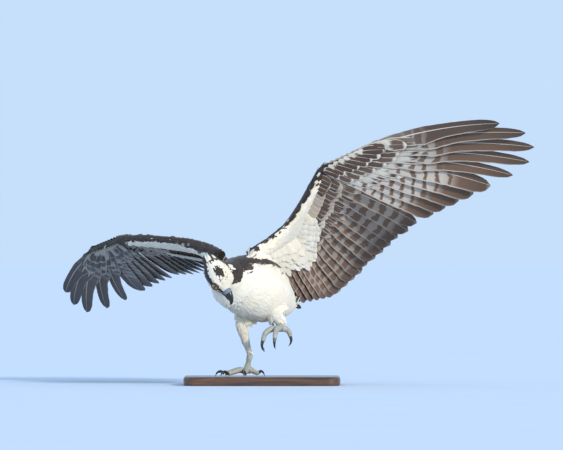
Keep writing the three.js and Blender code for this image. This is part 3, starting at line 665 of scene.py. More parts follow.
def feather_piece(name, batch, marks, material, unwrap=None):
    count = int(batch["owner"].max()) + 1
    bake = sheet_map(batch, count) if unwrap is None else tuft_map(batch, unwrap)
    spread = {}
    for key, values in marks.items():
        spread[key] = np.broadcast_to(values, (count, np.shape(values)[-1]))[batch["owner"]]
    maps = {"OFBake": bake, "vane": batch["vane"], "kind": batch["kind"]}
    piece = quad_mesh(name, batch["points"], batch["quads"], material, spread, maps)
    piece.data.set_sharp_from_angle(angle=vane_sharpness)
    return piece


def join_batches(batches):
    """Several batches as one, with the feathers numbered on."""
    joined = {key: [] for key in ("points", "quads", "owner", "corner_owner", "vane", "kind")}
    points = 0
    feathers = 0
    for batch in batches:
        for key in ("points", "vane", "kind"):
            joined[key].append(batch[key])
        joined["quads"].append(batch["quads"] + points)
        joined["owner"].append(batch["owner"] + feathers)
        joined["corner_owner"].append(batch["corner_owner"] + feathers)
        points += len(batch["points"])
        feathers += int(batch["owner"].max()) + 1
    return {key: np.concatenate(values) for key, values in joined.items()}


# Wing lines, as the solids have them
def lead_point(wing, t):
    first, control, last = wing["lead"]
    if t <= 1:
        return first * (1 - t) ** 2 + control * 2 * t * (1 - t) + last * t**2
    tip = wing["fingertip"] * 0.98 + last * 0.02
    return last + (tip - last) * (t - 1)


def bone_point(wing, t):
    elbow_at = 0.45
    if t <= elbow_at:
        return wing["shoulder"] + (wing["elbow"] - wing["shoulder"]) * t / elbow_at
    if t <= 1:
        return wing["elbow"] + (wing["wrist"] - wing["elbow"]) * (t - elbow_at) / (1 - elbow_at)
    return wing["wrist"] + (wing["fingertip"] - wing["wrist"]) * (t - 1)


def arm_section(wing, at):
    """The oval of the arm at one place: centre, chord, upper side, half chord and half depth."""
    behind = np.interp(at, arm_stations[:, 0], arm_stations[:, 1])
    thick = np.interp(at, arm_stations[:, 0], arm_stations[:, 2])
    lead = lead_point(wing, max(at, 0))
    bone = bone_point(wing, max(at, 0))
    chord = unit(bone - lead)
    step = 0.04
    along = unit(lead_point(wing, at + step) - lead_point(wing, max(at - step, 0)))
    up = unit(np.cross(chord, along))
    if up[2] < 0 or (wing is left_wing and up[1] > 0.9):
        up = -up
    rear = bone + chord * behind
    return (lead + rear) / 2, chord, up, np.linalg.norm(rear - lead) / 2, thick / 2


def arm_rings(wing):
    places = np.linspace(-0.02, 2.0, 40)
    turn = full_turn(48)
    rings = []
    for at in places:
        centre, chord, up, half_chord, half_depth = arm_section(wing, at)
        tall = np.sin(turn) * half_depth * (1 - 0.3 * np.cos(turn))
        rings.append(centre + np.outer(np.cos(turn) * half_chord, chord) + np.outer(tall, up))
    return np.array(rings), places


def flight_aim(wing, order):
    aims = np.array([unit(vec(*aim)) for aim in wing["aims"]])
    return unit(vec(*[np.interp(order, aim_orders, aims[:, axis]) for axis in range(3)]))


def root_place(order):
    if order <= primary_count - 1:
        return 1.94 - order / (primary_count - 1) * 0.88
    return 0.98 - (order - primary_count + 0.8) / (secondary_count + tertial_count) * 0.8


def order_at(place):
    orders = np.linspace(feather_count - 1, 0, 60)
    return float(np.interp(place, [root_place(order) for order in orders], orders))


def flight_length(order):
    if order <= primary_count - 1:
        return float(np.interp(order, range(primary_count), primary_lengths))
    return secondary_length - max(order - primary_count - secondary_count / 2, 0) * 5.5


def flight_station(wing, order):
    order = min(max(order, 0), feather_count - 1)
    return bone_point(wing, root_place(order)) + flight_aim(wing, order) * flight_length(order) * fan_share


def flight_frame(wing, order):
    aim = flight_aim(wing, order)
    outward = flight_station(wing, order - fan_reach) - flight_station(wing, order + fan_reach)
    outward = unit(outward - aim * np.dot(outward, aim))
    return aim, outward, np.cross(outward, aim) * wing["turn"]


# Outlines of vanes: a share of the length, and the half widths of the outer and the inner side
finger_outline = [(0, 0.10, 0.14), (0.18, 0.24, 0.42), (0.42, 0.28, 0.66),
                  (0.56, 0.24, 0.46), (0.8, 0.24, 0.36), (1, 0.22, 0.30)]
quill_outline = [(0, 0.10, 0.14), (0.2, 0.26, 0.44), (0.55, 0.34, 0.64), (0.85, 0.34, 0.60), (1, 0.32, 0.56)]
covert_outline = [(0, 0.24, 0.24), (0.4, 0.48, 0.52), (0.8, 0.44, 0.50), (1, 0.40, 0.46)]
body_outline = [(0, 0.3, 0.3), (0.35, 0.5, 0.5), (0.75, 0.5, 0.5), (1, 0.42, 0.42)]
lance_outline = [(0, 0.35, 0.35), (0.4, 0.5, 0.5), (0.8, 0.36, 0.36), (1, 0.16, 0.16)]


# Flight feathers and coverts
def wing_frames(wing, orders, lift=0.0, forward=0.0, tilt=0.0):
    """Roots, aims, outward and upper directions of feathers at these orders."""
    roots, aims, outs, ups = [], [], [], []
    for order in orders:
        aim, outward, up = flight_frame(wing, order)
        roots.append(bone_point(wing, root_place(order)) + up * lift - aim * forward)
        aims.append(unit(aim + up * tilt))
        outs.append(outward)
        ups.append(up)
    return np.array(roots), np.array(aims), np.array(outs), np.array(ups)


def wing_slope(orders):
    return np.where(np.asarray(orders) < primary_count, primary_slope, feather_slope)


def flight_batch(wing, first, last):
    """The long quills of one zone, and how each is marked."""
    orders = np.arange(first, last + 1)
    roots, aims, outs, ups = wing_frames(wing, orders)
    lengths = np.array([flight_length(order) for order in orders])
    batches = []
    for fingers in (True, False):
        chosen = (orders < finger_count) == fingers
        if not chosen.any():
            continue
        width = np.where(orders[chosen] < primary_count, primary_width, secondary_width)
        batches.append(feather_batch(
            roots[chosen], aims[chosen], outs[chosen], ups[chosen], lengths[chosen], width,
            finger_outline if fingers else quill_outline, rows=30, columns=9,
            slope=wing_slope(orders[chosen]), curve=feather_curve, thick=0.7, camber=0.10,
            droop=0.012, tip=0.84 if fingers else 0.86, ragged=0.06, shaft=1.5))
    count = len(orders)
    primary = orders < primary_count
    chance = draw.random(count)
    strength = np.interp(orders, [0, 2, 5, 9, 10, 20, 26], [0.45, 0.75, 0.86, 0.86, 0.66, 0.50, 0.35])
    plain_from = np.where(primary, 0.66, 0.78)
    dark_from = np.where(orders < finger_count, np.interp(orders, [0, 4], [0.34, 0.46]), plain_from)
    bars = np.where(primary, 11.5, 8.0) / bar_scale
    look = np.stack([chance, strength, dark_from, bars], -1)
    shade = np.interp(orders, [0, 2, 9, 16, 26], [0.45, 0.9, 1.0, 0.9, 1.0])[:, None]
    # The wing's factor darkens the under side colours of the quills: painted shade.
    vary = (1 + 0.12 * (draw.random((count, 1)) - 0.5)) * wing["painted_shade_factor"]
    marks = {
        "tint": np.where(primary[:, None], paint(196, 184, 170), paint(176, 160, 144)) * vary,
        "dusk": (DARK * (1 - shade) + BROWN * shade) * vary,
        "top": DARK * (1.0 + 0.3 * draw.random((count, 1))),
        "look": look,
    }
    return join_batches(batches), marks


covert_rows = {
    "greater": {"share": 0.42, "lift": 3.6, "tilt": 0.03, "forward": 0, "width": 29},
    "median": {"share": 0.27, "lift": 6.4, "tilt": 0.07, "forward": 4, "width": 26},
    "lesser": {"share": 0.16, "lift": 8.6, "tilt": 0.11, "forward": 8, "width": 22},
}


def covert_batch(wing, first, last, side):
    """Rows of coverts over the roots of the quills, above (1) or below (-1)."""
    batches = []
    marks = {"tint": [], "dusk": [], "top": [], "look": []}
    for row_name, row in covert_rows.items():
        step = 1.0 if row_name == "greater" or not first else 0.62
        orders = np.arange(first + 0.5 - (1 if first else 0), last + 0.01, step)
        lift, tilt = side * row["lift"], side * row["tilt"]
        roots, aims, outs, ups = wing_frames(wing, orders, lift, row["forward"], tilt)
        count = len(orders)
        jitter = 1 + 0.14 * (draw.random(count) - 0.5)
        lengths = np.array([flight_length(order) for order in orders]) * row["share"] * jitter
        aims = unit(aims + outs * (draw.random((count, 1)) - 0.5) * 0.10)
        batches.append(feather_batch(
            roots, aims, outs, ups, lengths, row["width"], covert_outline, rows=12, columns=7,
            slope=wing_slope(orders), curve=0.03, thick=0.5, camber=0.14 * side, droop=0.03 * side,
            tip=0.72, ragged=0.10, shaft=0.5))
        tint, dusk, look = covert_looks(row_name, orders)
        # The wing's factor darkens the colours of the coverts: painted shade.
        marks["tint"].append(tint * wing["painted_shade_factor"])
        marks["dusk"].append(dusk * wing["painted_shade_factor"])
        marks["look"].append(look)
        marks["top"].append(DARK * (0.9 + 0.45 * draw.random((count, 1))))
    return join_batches(batches), {key: np.concatenate(values) for key, values in marks.items()}


def covert_looks(row_name, orders):
    """The under sides of coverts: spotted on the hand, dark hearts on the forearm, white inside."""
    count = len(orders)
    hand = orders < primary_count - 0.5
    inner = np.interp(orders, [13, 19], [0, 1])[:, None]
    chance = draw.random(count)
    vary = 1 + 0.16 * (draw.random((count, 1)) - 0.5)
    pale = np.where(hand[:, None], paint(206, 196, 180), paint(176, 160, 142)) * vary
    front = orders < 2
    if row_name == "greater":
        tint = pale
        strength = np.where(front, 0.85, np.where(hand, 1.0, 0.95))
        start = np.where(front, 0.10, np.where(hand, 0.70, 0.52))
        fringe = np.where(hand, 0.12, 0.14)
    elif row_name == "median":
        tint = pale * (1 - inner) + WHITE * inner
        spotted = draw.random(count) < np.interp(orders, [15, 18, 21], [1.0, 0.8, 0.2])
        strength = np.where(spotted, 0.97, 0.0)
        start = np.where(hand, 0.20 + 0.35 * chance, 0.30)
        fringe = np.where(hand, 0.08, 0.16)
    else:
        tint = pale * (1 - inner) + CREAM * inner
        spotted = draw.random(count) < np.interp(orders, [0, 9, 11, 12.5], [0.92, 0.92, 0.5, 0.0])
        strength = np.where(spotted, 1.0, 0.0)
        start = 0.05 + 0.25 * chance
        fringe = 0.04 + 0.10 * chance
    look = np.stack([chance, strength, start, fringe], -1)
    dusk = (DARK * 0.7 + RUFOUS * 0.22) * (1 + 0.6 * (draw.random((count, 1)) - 0.5))
    return tint, dusk, look


def add_wing(wing, quills, coverts):
    zones = [("hand", 0, primary_count - 1), ("forearm", primary_count, first_tertial - 1),
             ("upper_arm", first_tertial, feather_count - 1)]
    for zone, first, last in zones:
        node = f"{zone}_{wing['name']}"
        batch, marks = flight_batch(wing, first, last)
        settle(feather_piece(f"quills_{node}", batch, marks, quills), "barred_plumage", node)
        for side, word in ((1, "upper"), (-1, "under")):
            batch, marks = covert_batch(wing, first, last, side)
            slot = "dark_plumage" if side > 0 else "barred_plumage"
            settle(feather_piece(f"coverts_{word}_{node}", batch, marks, coverts), slot)
    add_axillaries(wing, coverts)


def add_axillaries(wing, material):
    """Long soft white feathers that hang from the upper arm over the roots of the inner quills."""
    roots, aims, outs, ups, lengths = [], [], [], [], []
    for row in range(4):
        for place in np.arange(0.10 + 0.012 * (row % 2), 0.66, 0.034):
            aim, outward, up = flight_frame(wing, order_at(max(place, 0.2)))
            roots.append(bone_point(wing, place) - up * (10 + 1.6 * row) - aim * (6 * row - 4))
            aims.append(unit(aim - up * (0.05 + 0.04 * row) + outward * (0.12 * (draw.random() - 0.2))))
            outs.append(outward)
            ups.append(unit(up + outward * 0.3 * (draw.random() - 0.5)))
            reach = np.interp(place, [0.1, 0.3, 0.45, 0.66], [64, 92, 84, 44])
            lengths.append(reach * (1 - 0.2 * row) * (0.88 + 0.24 * draw.random()))
    count = len(roots)
    batch = feather_batch(
        np.array(roots), np.array(aims), np.array(outs), np.array(ups), np.array(lengths), 21,
        covert_outline, rows=12, columns=7, slope=0.12, curve=0.02, thick=0.5, camber=-0.16,
        droop=-0.05, tip=0.62, ragged=0.14, shaft=0.35)
    spotted = np.isin(np.arange(count), [4, 6, 9]).astype(float)
    look = np.stack([draw.random(count), spotted * 0.9, np.full(count, 0.72), np.full(count, 0.45)], -1)
    cream = draw.random((count, 1)) * 0.5
    tint = (WHITE * (1 - cream) + CREAM * cream) * (1 - 0.12 * draw.random((count, 1)))
    # The axillaries of a wing in painted shade are painted darker too: painted shade.
    marks = {"tint": tint * (0.5 + 0.5 * wing["painted_shade_factor"]), "dusk": BROWN, "top": PALE, "look": look}
    settle(feather_piece(f"axillaries_{wing['name']}", batch, marks, material), "white_plumage")


def even_look(count, *values):
    """Look marks that differ from feather to feather only in their chance."""
    return np.stack([draw.random(count), *[np.full(count, value) for value in values]], -1)


def add_tail(quills, coverts):
    spreads = ((np.arange(tail_feathers) + 0.5) / tail_feathers - 0.5) * 2
    lifts = (1 - np.abs(spreads)) * tail_stack + np.where(spreads > 0, tail_stack / tail_feathers, 0)
    roots = tail_root + spreads[:, None] * 17 * tail_left + lifts[:, None] * tail_up
    aims = unit(tail_aim + spreads[:, None] * tail_fan * tail_left)
    outs = np.sign(spreads)[:, None] * tail_left
    ups = np.tile(tail_up, (tail_feathers, 1))
    lengths = tail_length * (1 - 0.05 * np.abs(spreads))
    batch = feather_batch(
        roots, aims, outs, ups, lengths, 38, quill_outline, rows=30, columns=9, slope=-0.04, thick=0.6,
        camber=0.06, tip=0.88, ragged=0.06, shaft=1.0)
    look = even_look(tail_feathers, 0.75, 0.82, 7 / bar_scale)
    marks = {"tint": PALE, "dusk": BROWN * 0.8, "top": BROWN * 0.6, "look": look}
    settle(feather_piece("quills_tail", batch, marks, quills), "barred_plumage", "tail")
    for side, word in ((1, "upper"), (-1, "under")):
        batches = []
        for row in range(3):
            spread = np.linspace(-1, 1, 9 + row % 2) * (0.9 - 0.12 * row)
            roots = (tail_root + spread[:, None] * 18 * tail_left + tail_aim * (6 + 13 * row - 20)
                     + tail_up * (side * (13 - 2 * spread[:, None] ** 2)) + tail_up * 2)
            aims = unit(tail_aim + spread[:, None] * 0.10 * tail_left - tail_up * side * 0.05)
            outs, ups = (np.tile(way, (len(spread), 1)) for way in (tail_left, tail_up))
            batches.append(feather_batch(
                roots, aims, outs, ups, 62 - 6 * row, 24, covert_outline, rows=10, columns=7, slope=0.02,
                thick=0.5, camber=0.2 * side, droop=0.05 * side, tip=0.66, ragged=0.12, shaft=0.4))
        batch = join_batches(batches)
        count = int(batch["owner"].max()) + 1
        look = even_look(count, 0.0, 0.7, 0.2)
        marks = {"tint": WHITE, "dusk": BROWN, "top": DARK * 1.2, "look": look}
        slot = "barred_plumage" if side > 0 else "white_plumage"
        settle(feather_piece(f"coverts_{word}_tail", batch, marks, coverts), slot)


# Flesh under the coat
def loft_rings(sections, sides=48):
    """Rings of points from (centre, side, up, half width, half depth) sections."""
    turn = full_turn(sides)
    return np.array([
        centre + np.outer(np.cos(turn) * wide, side) + np.outer(np.sin(turn) * deep, up)
        for centre, side, up, wide, deep in sections
    ])


def smooth_values(values, count):
    """The values of a few stations spread over more, along a smooth curve."""
    values = np.asarray(values, float).reshape(len(values), -1)
    places = np.linspace(0, len(values) - 1, count)
    before = np.clip(np.floor(places).astype(int), 0, len(values) - 2)
    share = (places - before)[:, None]
    padded = np.concatenate([2 * values[:1] - values[1:2], values, 2 * values[-1:] - values[-2:-1]])
    a, b, c, d = (padded[before + step] for step in range(4))
    bend = (2 * a - 5 * b + 4 * c - d) * share**2
    return 0.5 * (2 * b + (c - a) * share + bend + (3 * b - a - 3 * c + d) * share**3)


def heading(centres, index):
    """The direction of a line of points at one of them."""
    return unit(centres[min(index + 1, len(centres) - 1)] - centres[max(index - 1, 0)])


def head_place(ahead, right, up):
    return eye_middle + head_forward * ahead + head_right * right + head_up * up


def torso_rings():
    count = 36
    centres = smooth_values([station[0] for station in torso_stations], count)
    wide, deep = smooth_values([station[1:] for station in torso_stations], count).T
    sections = []
    for index, centre in enumerate(centres):
        along = heading(centres, index)
        up = unit(np.cross(along, body_left))
        sections.append((centre, unit(np.cross(along, up)), up, wide[index], deep[index]))
    return loft_rings(sections)


def head_rings():
    return loft_rings([
        (head_place(ahead, 0, up), head_right, head_up, wide, deep)
        for ahead, up, wide, deep in smooth_values(head_stations, 30)
    ])


def limb_rings(path, radii, count, sides=40):
    centres = smooth_values(path, count)
    sizes = np.interp(np.linspace(0, 1, count), np.linspace(0, 1, len(radii)), radii)
    side = vec(1, 0, 0)
    sections = []
    for index, centre in enumerate(centres):
        along = heading(centres, index)
        up = unit(np.cross(along, side))
        side = unit(np.cross(up, along))
        sections.append((centre, side, up, sizes[index], sizes[index]))
    return loft_rings(sections, sides)


def neck_rings():
    path = [head_place(-36, 0, -4), vec(-93, -106, 232), vec(-78, -80, 222), vec(-54, -54, 214)]
    return limb_rings(path, [21, 27, 37, 44], 24)


def tail_core_rings():
    return loft_rings([
        (tail_root + tail_aim * reach, tail_left, tail_up, wide, deep)
        for reach, wide, deep in ((-8, 15, 11), (0, 17, 12), (20, 22, 13), (44, 18, 10), (60, 10, 5))
    ])


def ring_mesh(rings):
    """Points and triangles or quads of a closed loft, for the voxel join of the skin."""
    count, sides = rings.shape[:2]
    points = np.concatenate([rings.reshape(-1, 3), rings[0].mean(axis=0)[None], rings[-1].mean(axis=0)[None]])
    grid, quads = ring_grid(count, sides)
    faces = quads.tolist()
    for side in range(sides):
        after = (side + 1) % sides
        faces.append([count * sides, int(grid[0, after]), int(grid[0, side])])
        faces.append([count * sides + 1, int(grid[-1, side]), int(grid[-1, after])])
    return points, faces


def flesh_parts():
    """The lofts that make the flesh, with the way the feathers lie on each ring."""
    lofts = {"torso": torso_rings(), "head": head_rings()[::-1], "neck": neck_rings()}
    for leg in (standing_leg, raised_leg):
        lofts[f"thigh_{leg['name']}"] = limb_rings(leg["path"], leg["radii"], 22)
    parts = {name: (rings, np.gradient(rings, axis=0)) for name, rings in lofts.items()}
    for wing in (left_wing, right_wing):
        rings, places = arm_rings(wing)
        shoulder = np.clip(1 - places / 0.35, 0, 1)[:, None]
        aims = np.array([flight_aim(wing, order_at(place)) for place in places])
        aims = aims * (1 - shoulder) + tail_aim * shoulder
        span = unit(np.gradient(rings.mean(axis=1), axis=0))
        turn = full_turn(rings.shape[1])
        front = (0.25 + 1.25 * np.clip(-np.cos(turn), 0, 1) ** 2) * (1 - shoulder)
        parts[f"arm_{wing['name']}"] = (rings, aims[:, None] + span[:, None] * front[:, :, None])
    tail = tail_core_rings()
    parts["tail"] = (tail, np.gradient(tail, axis=0))
    return parts


def brow_path(side):
    """The ridge that shades each eye, as in the solids."""
    return [head_place(14, side * 12, 6.5), head_place(7, side * 20, 10), head_place(-3, side * 23.5, 11),
            head_place(-14, side * 23.5, 9)]


def mesh_points(mesh):
    """Places of a mesh's points in metres, and their normals."""
    places = np.zeros(len(mesh.vertices) * 3, np.float32)
    normals = np.zeros(len(mesh.vertices) * 3, np.float32)
    mesh.vertices.foreach_get("co", places)
    mesh.vertices.foreach_get("normal", normals)
    return places.reshape(-1, 3), normals.reshape(-1, 3)


def skin_mesh(parts, depth):
    """One closed skin over all the flesh, drawn in by the depth of the coat."""
    points, faces = [], []
    start = 0
    brows = [limb_rings(brow_path(side), [1, 2.6, 2.6, 1], 16, 16) for side in (-1, 1)]
    for rings in [loft for loft, _ in parts.values()] + brows:
        part_points, part_faces = ring_mesh(rings)
        points.append(part_points)
        faces += [[corner + start for corner in face] for face in part_faces]
        start += len(part_points)
    mesh = bpy.data.meshes.new("skin")
    mesh.from_pydata((np.concatenate(points) * MM).tolist(), [], faces)
    skin = bpy.data.objects.new("skin", mesh)
    bpy.context.scene.collection.objects.link(skin)
    bpy.context.view_layer.objects.active = skin
    remesh = skin.modifiers.new("remesh", "REMESH")
    remesh.mode = "VOXEL"
    remesh.voxel_size = 0.0024
    relax = skin.modifiers.new("relax", "SMOOTH")
    relax.factor = 0.5
    relax.iterations = 6
    bpy.ops.object.modifier_apply(modifier="remesh")
    bpy.ops.object.modifier_apply(modifier="relax")
    mesh = skin.data
    places, normals = mesh_points(mesh)
    moved = places - normals * depth * MM
    mesh.vertices.foreach_set("co", moved.ravel())
    mesh.update()
    return skin


# Markings of the body, shared by skin and coat
def rough(points, scale, seed=0.0):
    """Smooth chance from -1 to 1 at each point."""
    return np.array([noise.noise(Vector((p[0] * scale + seed, p[1] * scale, p[2] * scale))) for p in points])


def segment_distance(points, start, end):
    line = end - start
    share = np.clip(((points - start) @ line) / (line @ line), 0, 1)
    return np.linalg.norm(points - (start + share[:, None] * line), axis=1)


def step(value, low, high):
    share = np.clip((value - low) / (high - low), 0, 1)
    return share * share * (3 - 2 * share)


def head_darkness(points):
    """Dark eye line, crown patch and nape band on the white head, with ragged edges."""
    ahead = (points - eye_middle) @ head_forward
    right = (points - eye_middle) @ head_right
    up = (points - eye_middle) @ head_up
    ragged = rough(points, 0.16) * 0.6 + rough(points, 0.45, 9.0) * 0.4
    line = np.where(ahead > eye_ahead, 1 - 0.45 * (ahead - eye_ahead), -0.9 - 0.03 * (eye_ahead - ahead))
    half = np.interp(ahead, [-50, -20, -6, 2, 10, 24], [12, 9.5, 6.5, 5.5, 4.0, 3.0])
    side = step(np.abs(right), 5, 9)
    mask = step(half - np.abs(up - line) + ragged * 3.2, -1.0, 1.0) * side
    torn = rough(points, 0.32, 5.0) * 0.7 + rough(points, 0.75, 2.0) * 0.5
    crown = 1 - np.hypot((ahead + 13) / 12, (right - 7) / 9.5) + torn * 0.55
    crown = step(crown, 0.0, 0.2) * (up > 5)
    streak = step(1 - np.hypot((ahead + 1) / 14, (right - 3) / 14) + torn * 1.5, 0.75, 0.95) * (up > 5) * 0.9
    nape = step(4.5 - np.abs(ahead + 41) + ragged * 6, -1, 1.5) * (up > -4)
    behind = step(-ahead + ragged * 5, 45, 49) * (up > -12)
    return np.clip(np.maximum.reduce([mask, crown, streak, nape, behind]), 0, 1), ragged


def body_darkness(points, normals):
    """Dark back and sides of the neck, ragged where they meet the white breast."""
    ragged = rough(points, 0.07, 4.0) * 0.5 + rough(points, 0.2, 2.0) * 0.5
    back = step(normals @ back_up + ragged * 0.35, 0.42, 0.62)
    left = segment_distance(points, vec(-58, -112, 222), vec(-44, -66, 258))
    right = segment_distance(points, vec(-114, -120, 240), vec(-96, -60, 254))
    stripe = step(15 - left + ragged * 7, -1, 2)
    other = step(11 - right + ragged * 6, -1, 2)
    return np.clip(np.maximum.reduce([back, stripe, other]), 0, 1), ragged


def arm_marks(wing, points, normals):
    """Dark above, and below white with a mottled wrist; the leading edge is dark."""
    at = np.zeros(len(points))
    best = np.full(len(points), 1e9)
    chord = np.zeros(len(points))
    above = np.zeros(len(points))
    for place in np.linspace(0, 2, 41):
        centre, way, up, half_chord, _ = arm_section(wing, place)
        away = np.linalg.norm(points - centre, axis=1)
        near = away < best
        best = np.where(near, away, best)
        at = np.where(near, place, at)
        chord = np.where(near, (points - centre) @ way / half_chord, chord)
        above = np.where(near, normals @ up, above)
    ragged = rough(points, 0.08, 6.0) * 0.5 + rough(points, 0.28, 1.0) * 0.5
    lean = np.where(chord < -0.2, wing["dark_front"], np.where(chord > 0.35, 0.75, 0.0))
    upper = step(above + ragged * 0.25 + lean, -0.12, 0.10)
    upper = np.maximum(upper, step(0.05 - at, 0.0, 0.02) * step(above, -0.5, -0.3))
    wrist = step(at + ragged * 0.10, 0.86, 0.96)
    mottled = step(ragged + np.interp(at, [0.86, 1.0, 1.5, 1.9], [0.1, 0.40, 0.32, 0.4]), -0.08, 0.10) * wrist
    front = step(-chord + ragged * 0.3, 0.75, 0.95) * step(at, 0.8, 1.0)
    return upper, np.clip(np.maximum(mottled, front), 0, 1), ragged


def plumage(part, points, normals):
    """Colour of the coat at these points, and the darker colour of each feather's middle."""
    count = len(points)
    chance = draw.random((count, 1)) - 0.5
    if part == "head":
        dark, ragged = head_darkness(points)
    elif part.startswith("arm"):
        wing = left_wing if part.endswith("left") else right_wing
        upper, under, ragged = arm_marks(wing, points, normals)
        dark = np.maximum(upper, under)
    elif part == "tail":
        ragged = rough(points, 0.1)
        dark = step(normals @ tail_up, 0.0, 0.4)
    elif part.startswith("thigh"):
        ragged = rough(points, 0.1)
        dark = np.zeros(count)
    else:
        dark, ragged = body_darkness(points, normals)
    cream = np.clip(0.16 + 0.5 * rough(points, 0.03, 8.0), 0, 0.55)[:, None]
    light = WHITE * (1 - cream * 0.7) + CREAM * cream * 0.7
    light = light * (1 + 0.08 * chance)
    edge = np.clip(1 - np.abs(dark - 0.5) * 2, 0, 1)[:, None]
    deep = DARK * (1 + 0.5 * chance) + RUFOUS * 0.10 * np.clip(ragged, 0, 1)[:, None]
    deep = deep * (1 - 0.45 * edge) + RUFOUS * 0.45 * edge
    share = step(dark + chance[:, 0] * 0.35, 0.35, 0.65)[:, None]
    tint = light * (1 - share) + deep * share
    dusk = (light * 0.94) * (1 - share) + (deep * 0.55) * share
    return tint, dusk


# Coat
thigh_coat = {"spacing": 2.9, "length": 11, "width": 5.0, "rise": 0.13, "droop": 0.09}
arm_coat = {"spacing": 4.3, "length": 15, "width": 8.0, "rise": 0.18, "droop": 0.14}
coat_sizes = {
    "torso": {"spacing": 3.7, "length": 20, "width": 9.5, "rise": 0.12, "droop": 0.06,
              "unwrap": (0.00, 0.15, 0.50, 0.25)},
    "neck": {"spacing": 3.5, "length": 15, "width": 6.5, "rise": 0.14, "droop": 0.10,
             "unwrap": (0.50, 0.15, 0.25, 0.25)},
    "head": {"spacing": 2.0, "length": 6.5, "width": 3.2, "rise": 0.15, "droop": 0.12,
             "unwrap": (0.75, 0.00, 0.25, 0.40)},
    "thigh_right": {**thigh_coat, "unwrap": (0.00, 0.40, 0.25, 0.25)},
    "thigh_left": {**thigh_coat, "unwrap": (0.25, 0.40, 0.25, 0.25)},
    "tail": {"spacing": 4.4, "length": 21, "width": 9, "rise": 0.10, "droop": 0.04,
             "unwrap": (0.50, 0.40, 0.50, 0.25)},
    "arm_left": {**arm_coat, "unwrap": (0.00, 0.65, 0.50, 0.35)},
    "arm_right": {**arm_coat, "unwrap": (0.50, 0.65, 0.50, 0.35)},
}


def sample_rings(rings, flow, spacing):
    """Staggered points over a loft, the lie of the feathers there, and the unwrap of each."""
    gaps = np.linalg.norm(np.diff(rings, axis=0), axis=2).mean(axis=1)
    reach = np.concatenate([[0], np.cumsum(gaps)])
    rows = max(int(reach[-1] / (spacing * 0.87)), 2)
    points, ways, unwrap = [], [], []
    sides = rings.shape[1]
    for row in range(rows):
        place = np.interp((row + 0.5) / rows * reach[-1], reach, np.arange(len(reach)))
        before = min(int(place), len(rings) - 2)
        share = place - before
        ring = rings[before] * (1 - share) + rings[before + 1] * share
        lie = flow[before] * (1 - share) + flow[before + 1] * share
        around = np.linalg.norm(ring - np.roll(ring, 1, axis=0), axis=1).sum()
        count = max(int(around / spacing), 3)
        turn = (np.arange(count) + 0.5 * (row % 2) + (draw.random(count) - 0.5) * 0.5) / count * sides
        first = np.floor(turn).astype(int)
        part = (turn - first)[:, None]
        first, after = first % sides, (first + 1) % sides
        points.append(ring[first] * (1 - part) + ring[after] * part)
        ways.append(lie[first])
        depth = (row + 0.5) / rows + (draw.random(count) - 0.5) * 0.5 / rows
        unwrap.append(np.stack([(turn / sides) % 1, depth], -1))
    return np.concatenate(points), np.concatenate(ways), np.concatenate(unwrap)


def near_eye(points):
    places = [head_place(eye_ahead, side * eye_aside, eye_height) for side in (-1, 1)]
    return np.min([np.linalg.norm(points - place, axis=1) for place in places], axis=0)


def add_coat(part, rings, flow, tree, depth, material):
    """Scatters small overlapping feathers over one part of the skin, along its lie."""
    size = coat_sizes[part]
    points, ways, unwrap = sample_rings(rings, flow, size["spacing"])
    roots, normals, kept = [], [], []
    for index, point in enumerate(points):
        place, normal, _, away = tree.find_nearest(Vector(point * MM))
        if away < (depth + 3.0) * MM:
            roots.append(np.array(place) / MM)
            normals.append(np.array(normal))
            kept.append(index)
    roots, normals = np.array(roots), np.array(normals)
    ways, unwrap = ways[kept], unwrap[kept]
    length = np.full(len(roots), float(size["length"]))
    chosen = np.ones(len(roots), bool)
    if part.startswith("arm"):
        chosen = np.abs(unwrap[:, 1] - 0.485) < 0.455
        length = length * np.interp(unwrap[:, 1], [0.0, 0.15], [0.5, 1.0])
    if part == "head":
        ahead = (roots - eye_middle) @ head_forward
        chosen = (near_eye(roots) > eye_radius + 1.2) & (ahead < 19)
        length = np.interp(ahead, [-46, -30, -5, 12, 19], [15, 10, 6.0, 4.0, 3.2])
    roots, normals, ways, unwrap, length = (
        values[chosen] for values in (roots, normals, ways, unwrap, length))
    count = len(roots)
    aims, outs, ups = lie_frame(ways, normals, size["rise"], 0.3)
    length = length * (0.75 + 0.5 * draw.random(count))
    droop = length / 55 if part == "head" else size["droop"]
    width = size["width"] / size["length"] * length * (0.8 + 0.4 * draw.random(count))
    outline = lance_outline if part in ("head", "neck") else body_outline
    roots = roots - normals * 0.4
    batch_marks = plumage(part, roots, normals)
    left, low, wide, tall = size["unwrap"]
    unwrap = np.array([left, low]) + (0.01 + 0.98 * unwrap) * np.array([wide, tall])
    droop = np.broadcast_to(droop, count)
    halves = {part: np.ones(count, bool)}
    if part == "torso":
        above = normals @ back_up > 0.05
        halves = {"back": above, "breast": ~above}
    for name, chosen in halves.items():
        frames = (values[chosen] for values in (roots, aims, outs, ups, length, width))
        batch = feather_batch(*frames, outline, rows=5, columns=4, slope=0.0, thick=0.4, camber=0.08,
                              droop=droop[chosen], tip=0.45, ragged=0.15)
        tint, dusk = (values[chosen] for values in batch_marks)
        piece = feather_piece(f"coat_{name}", batch, {"tint": tint, "dusk": dusk}, material, unwrap[chosen])
        settle(piece, "white_plumage")


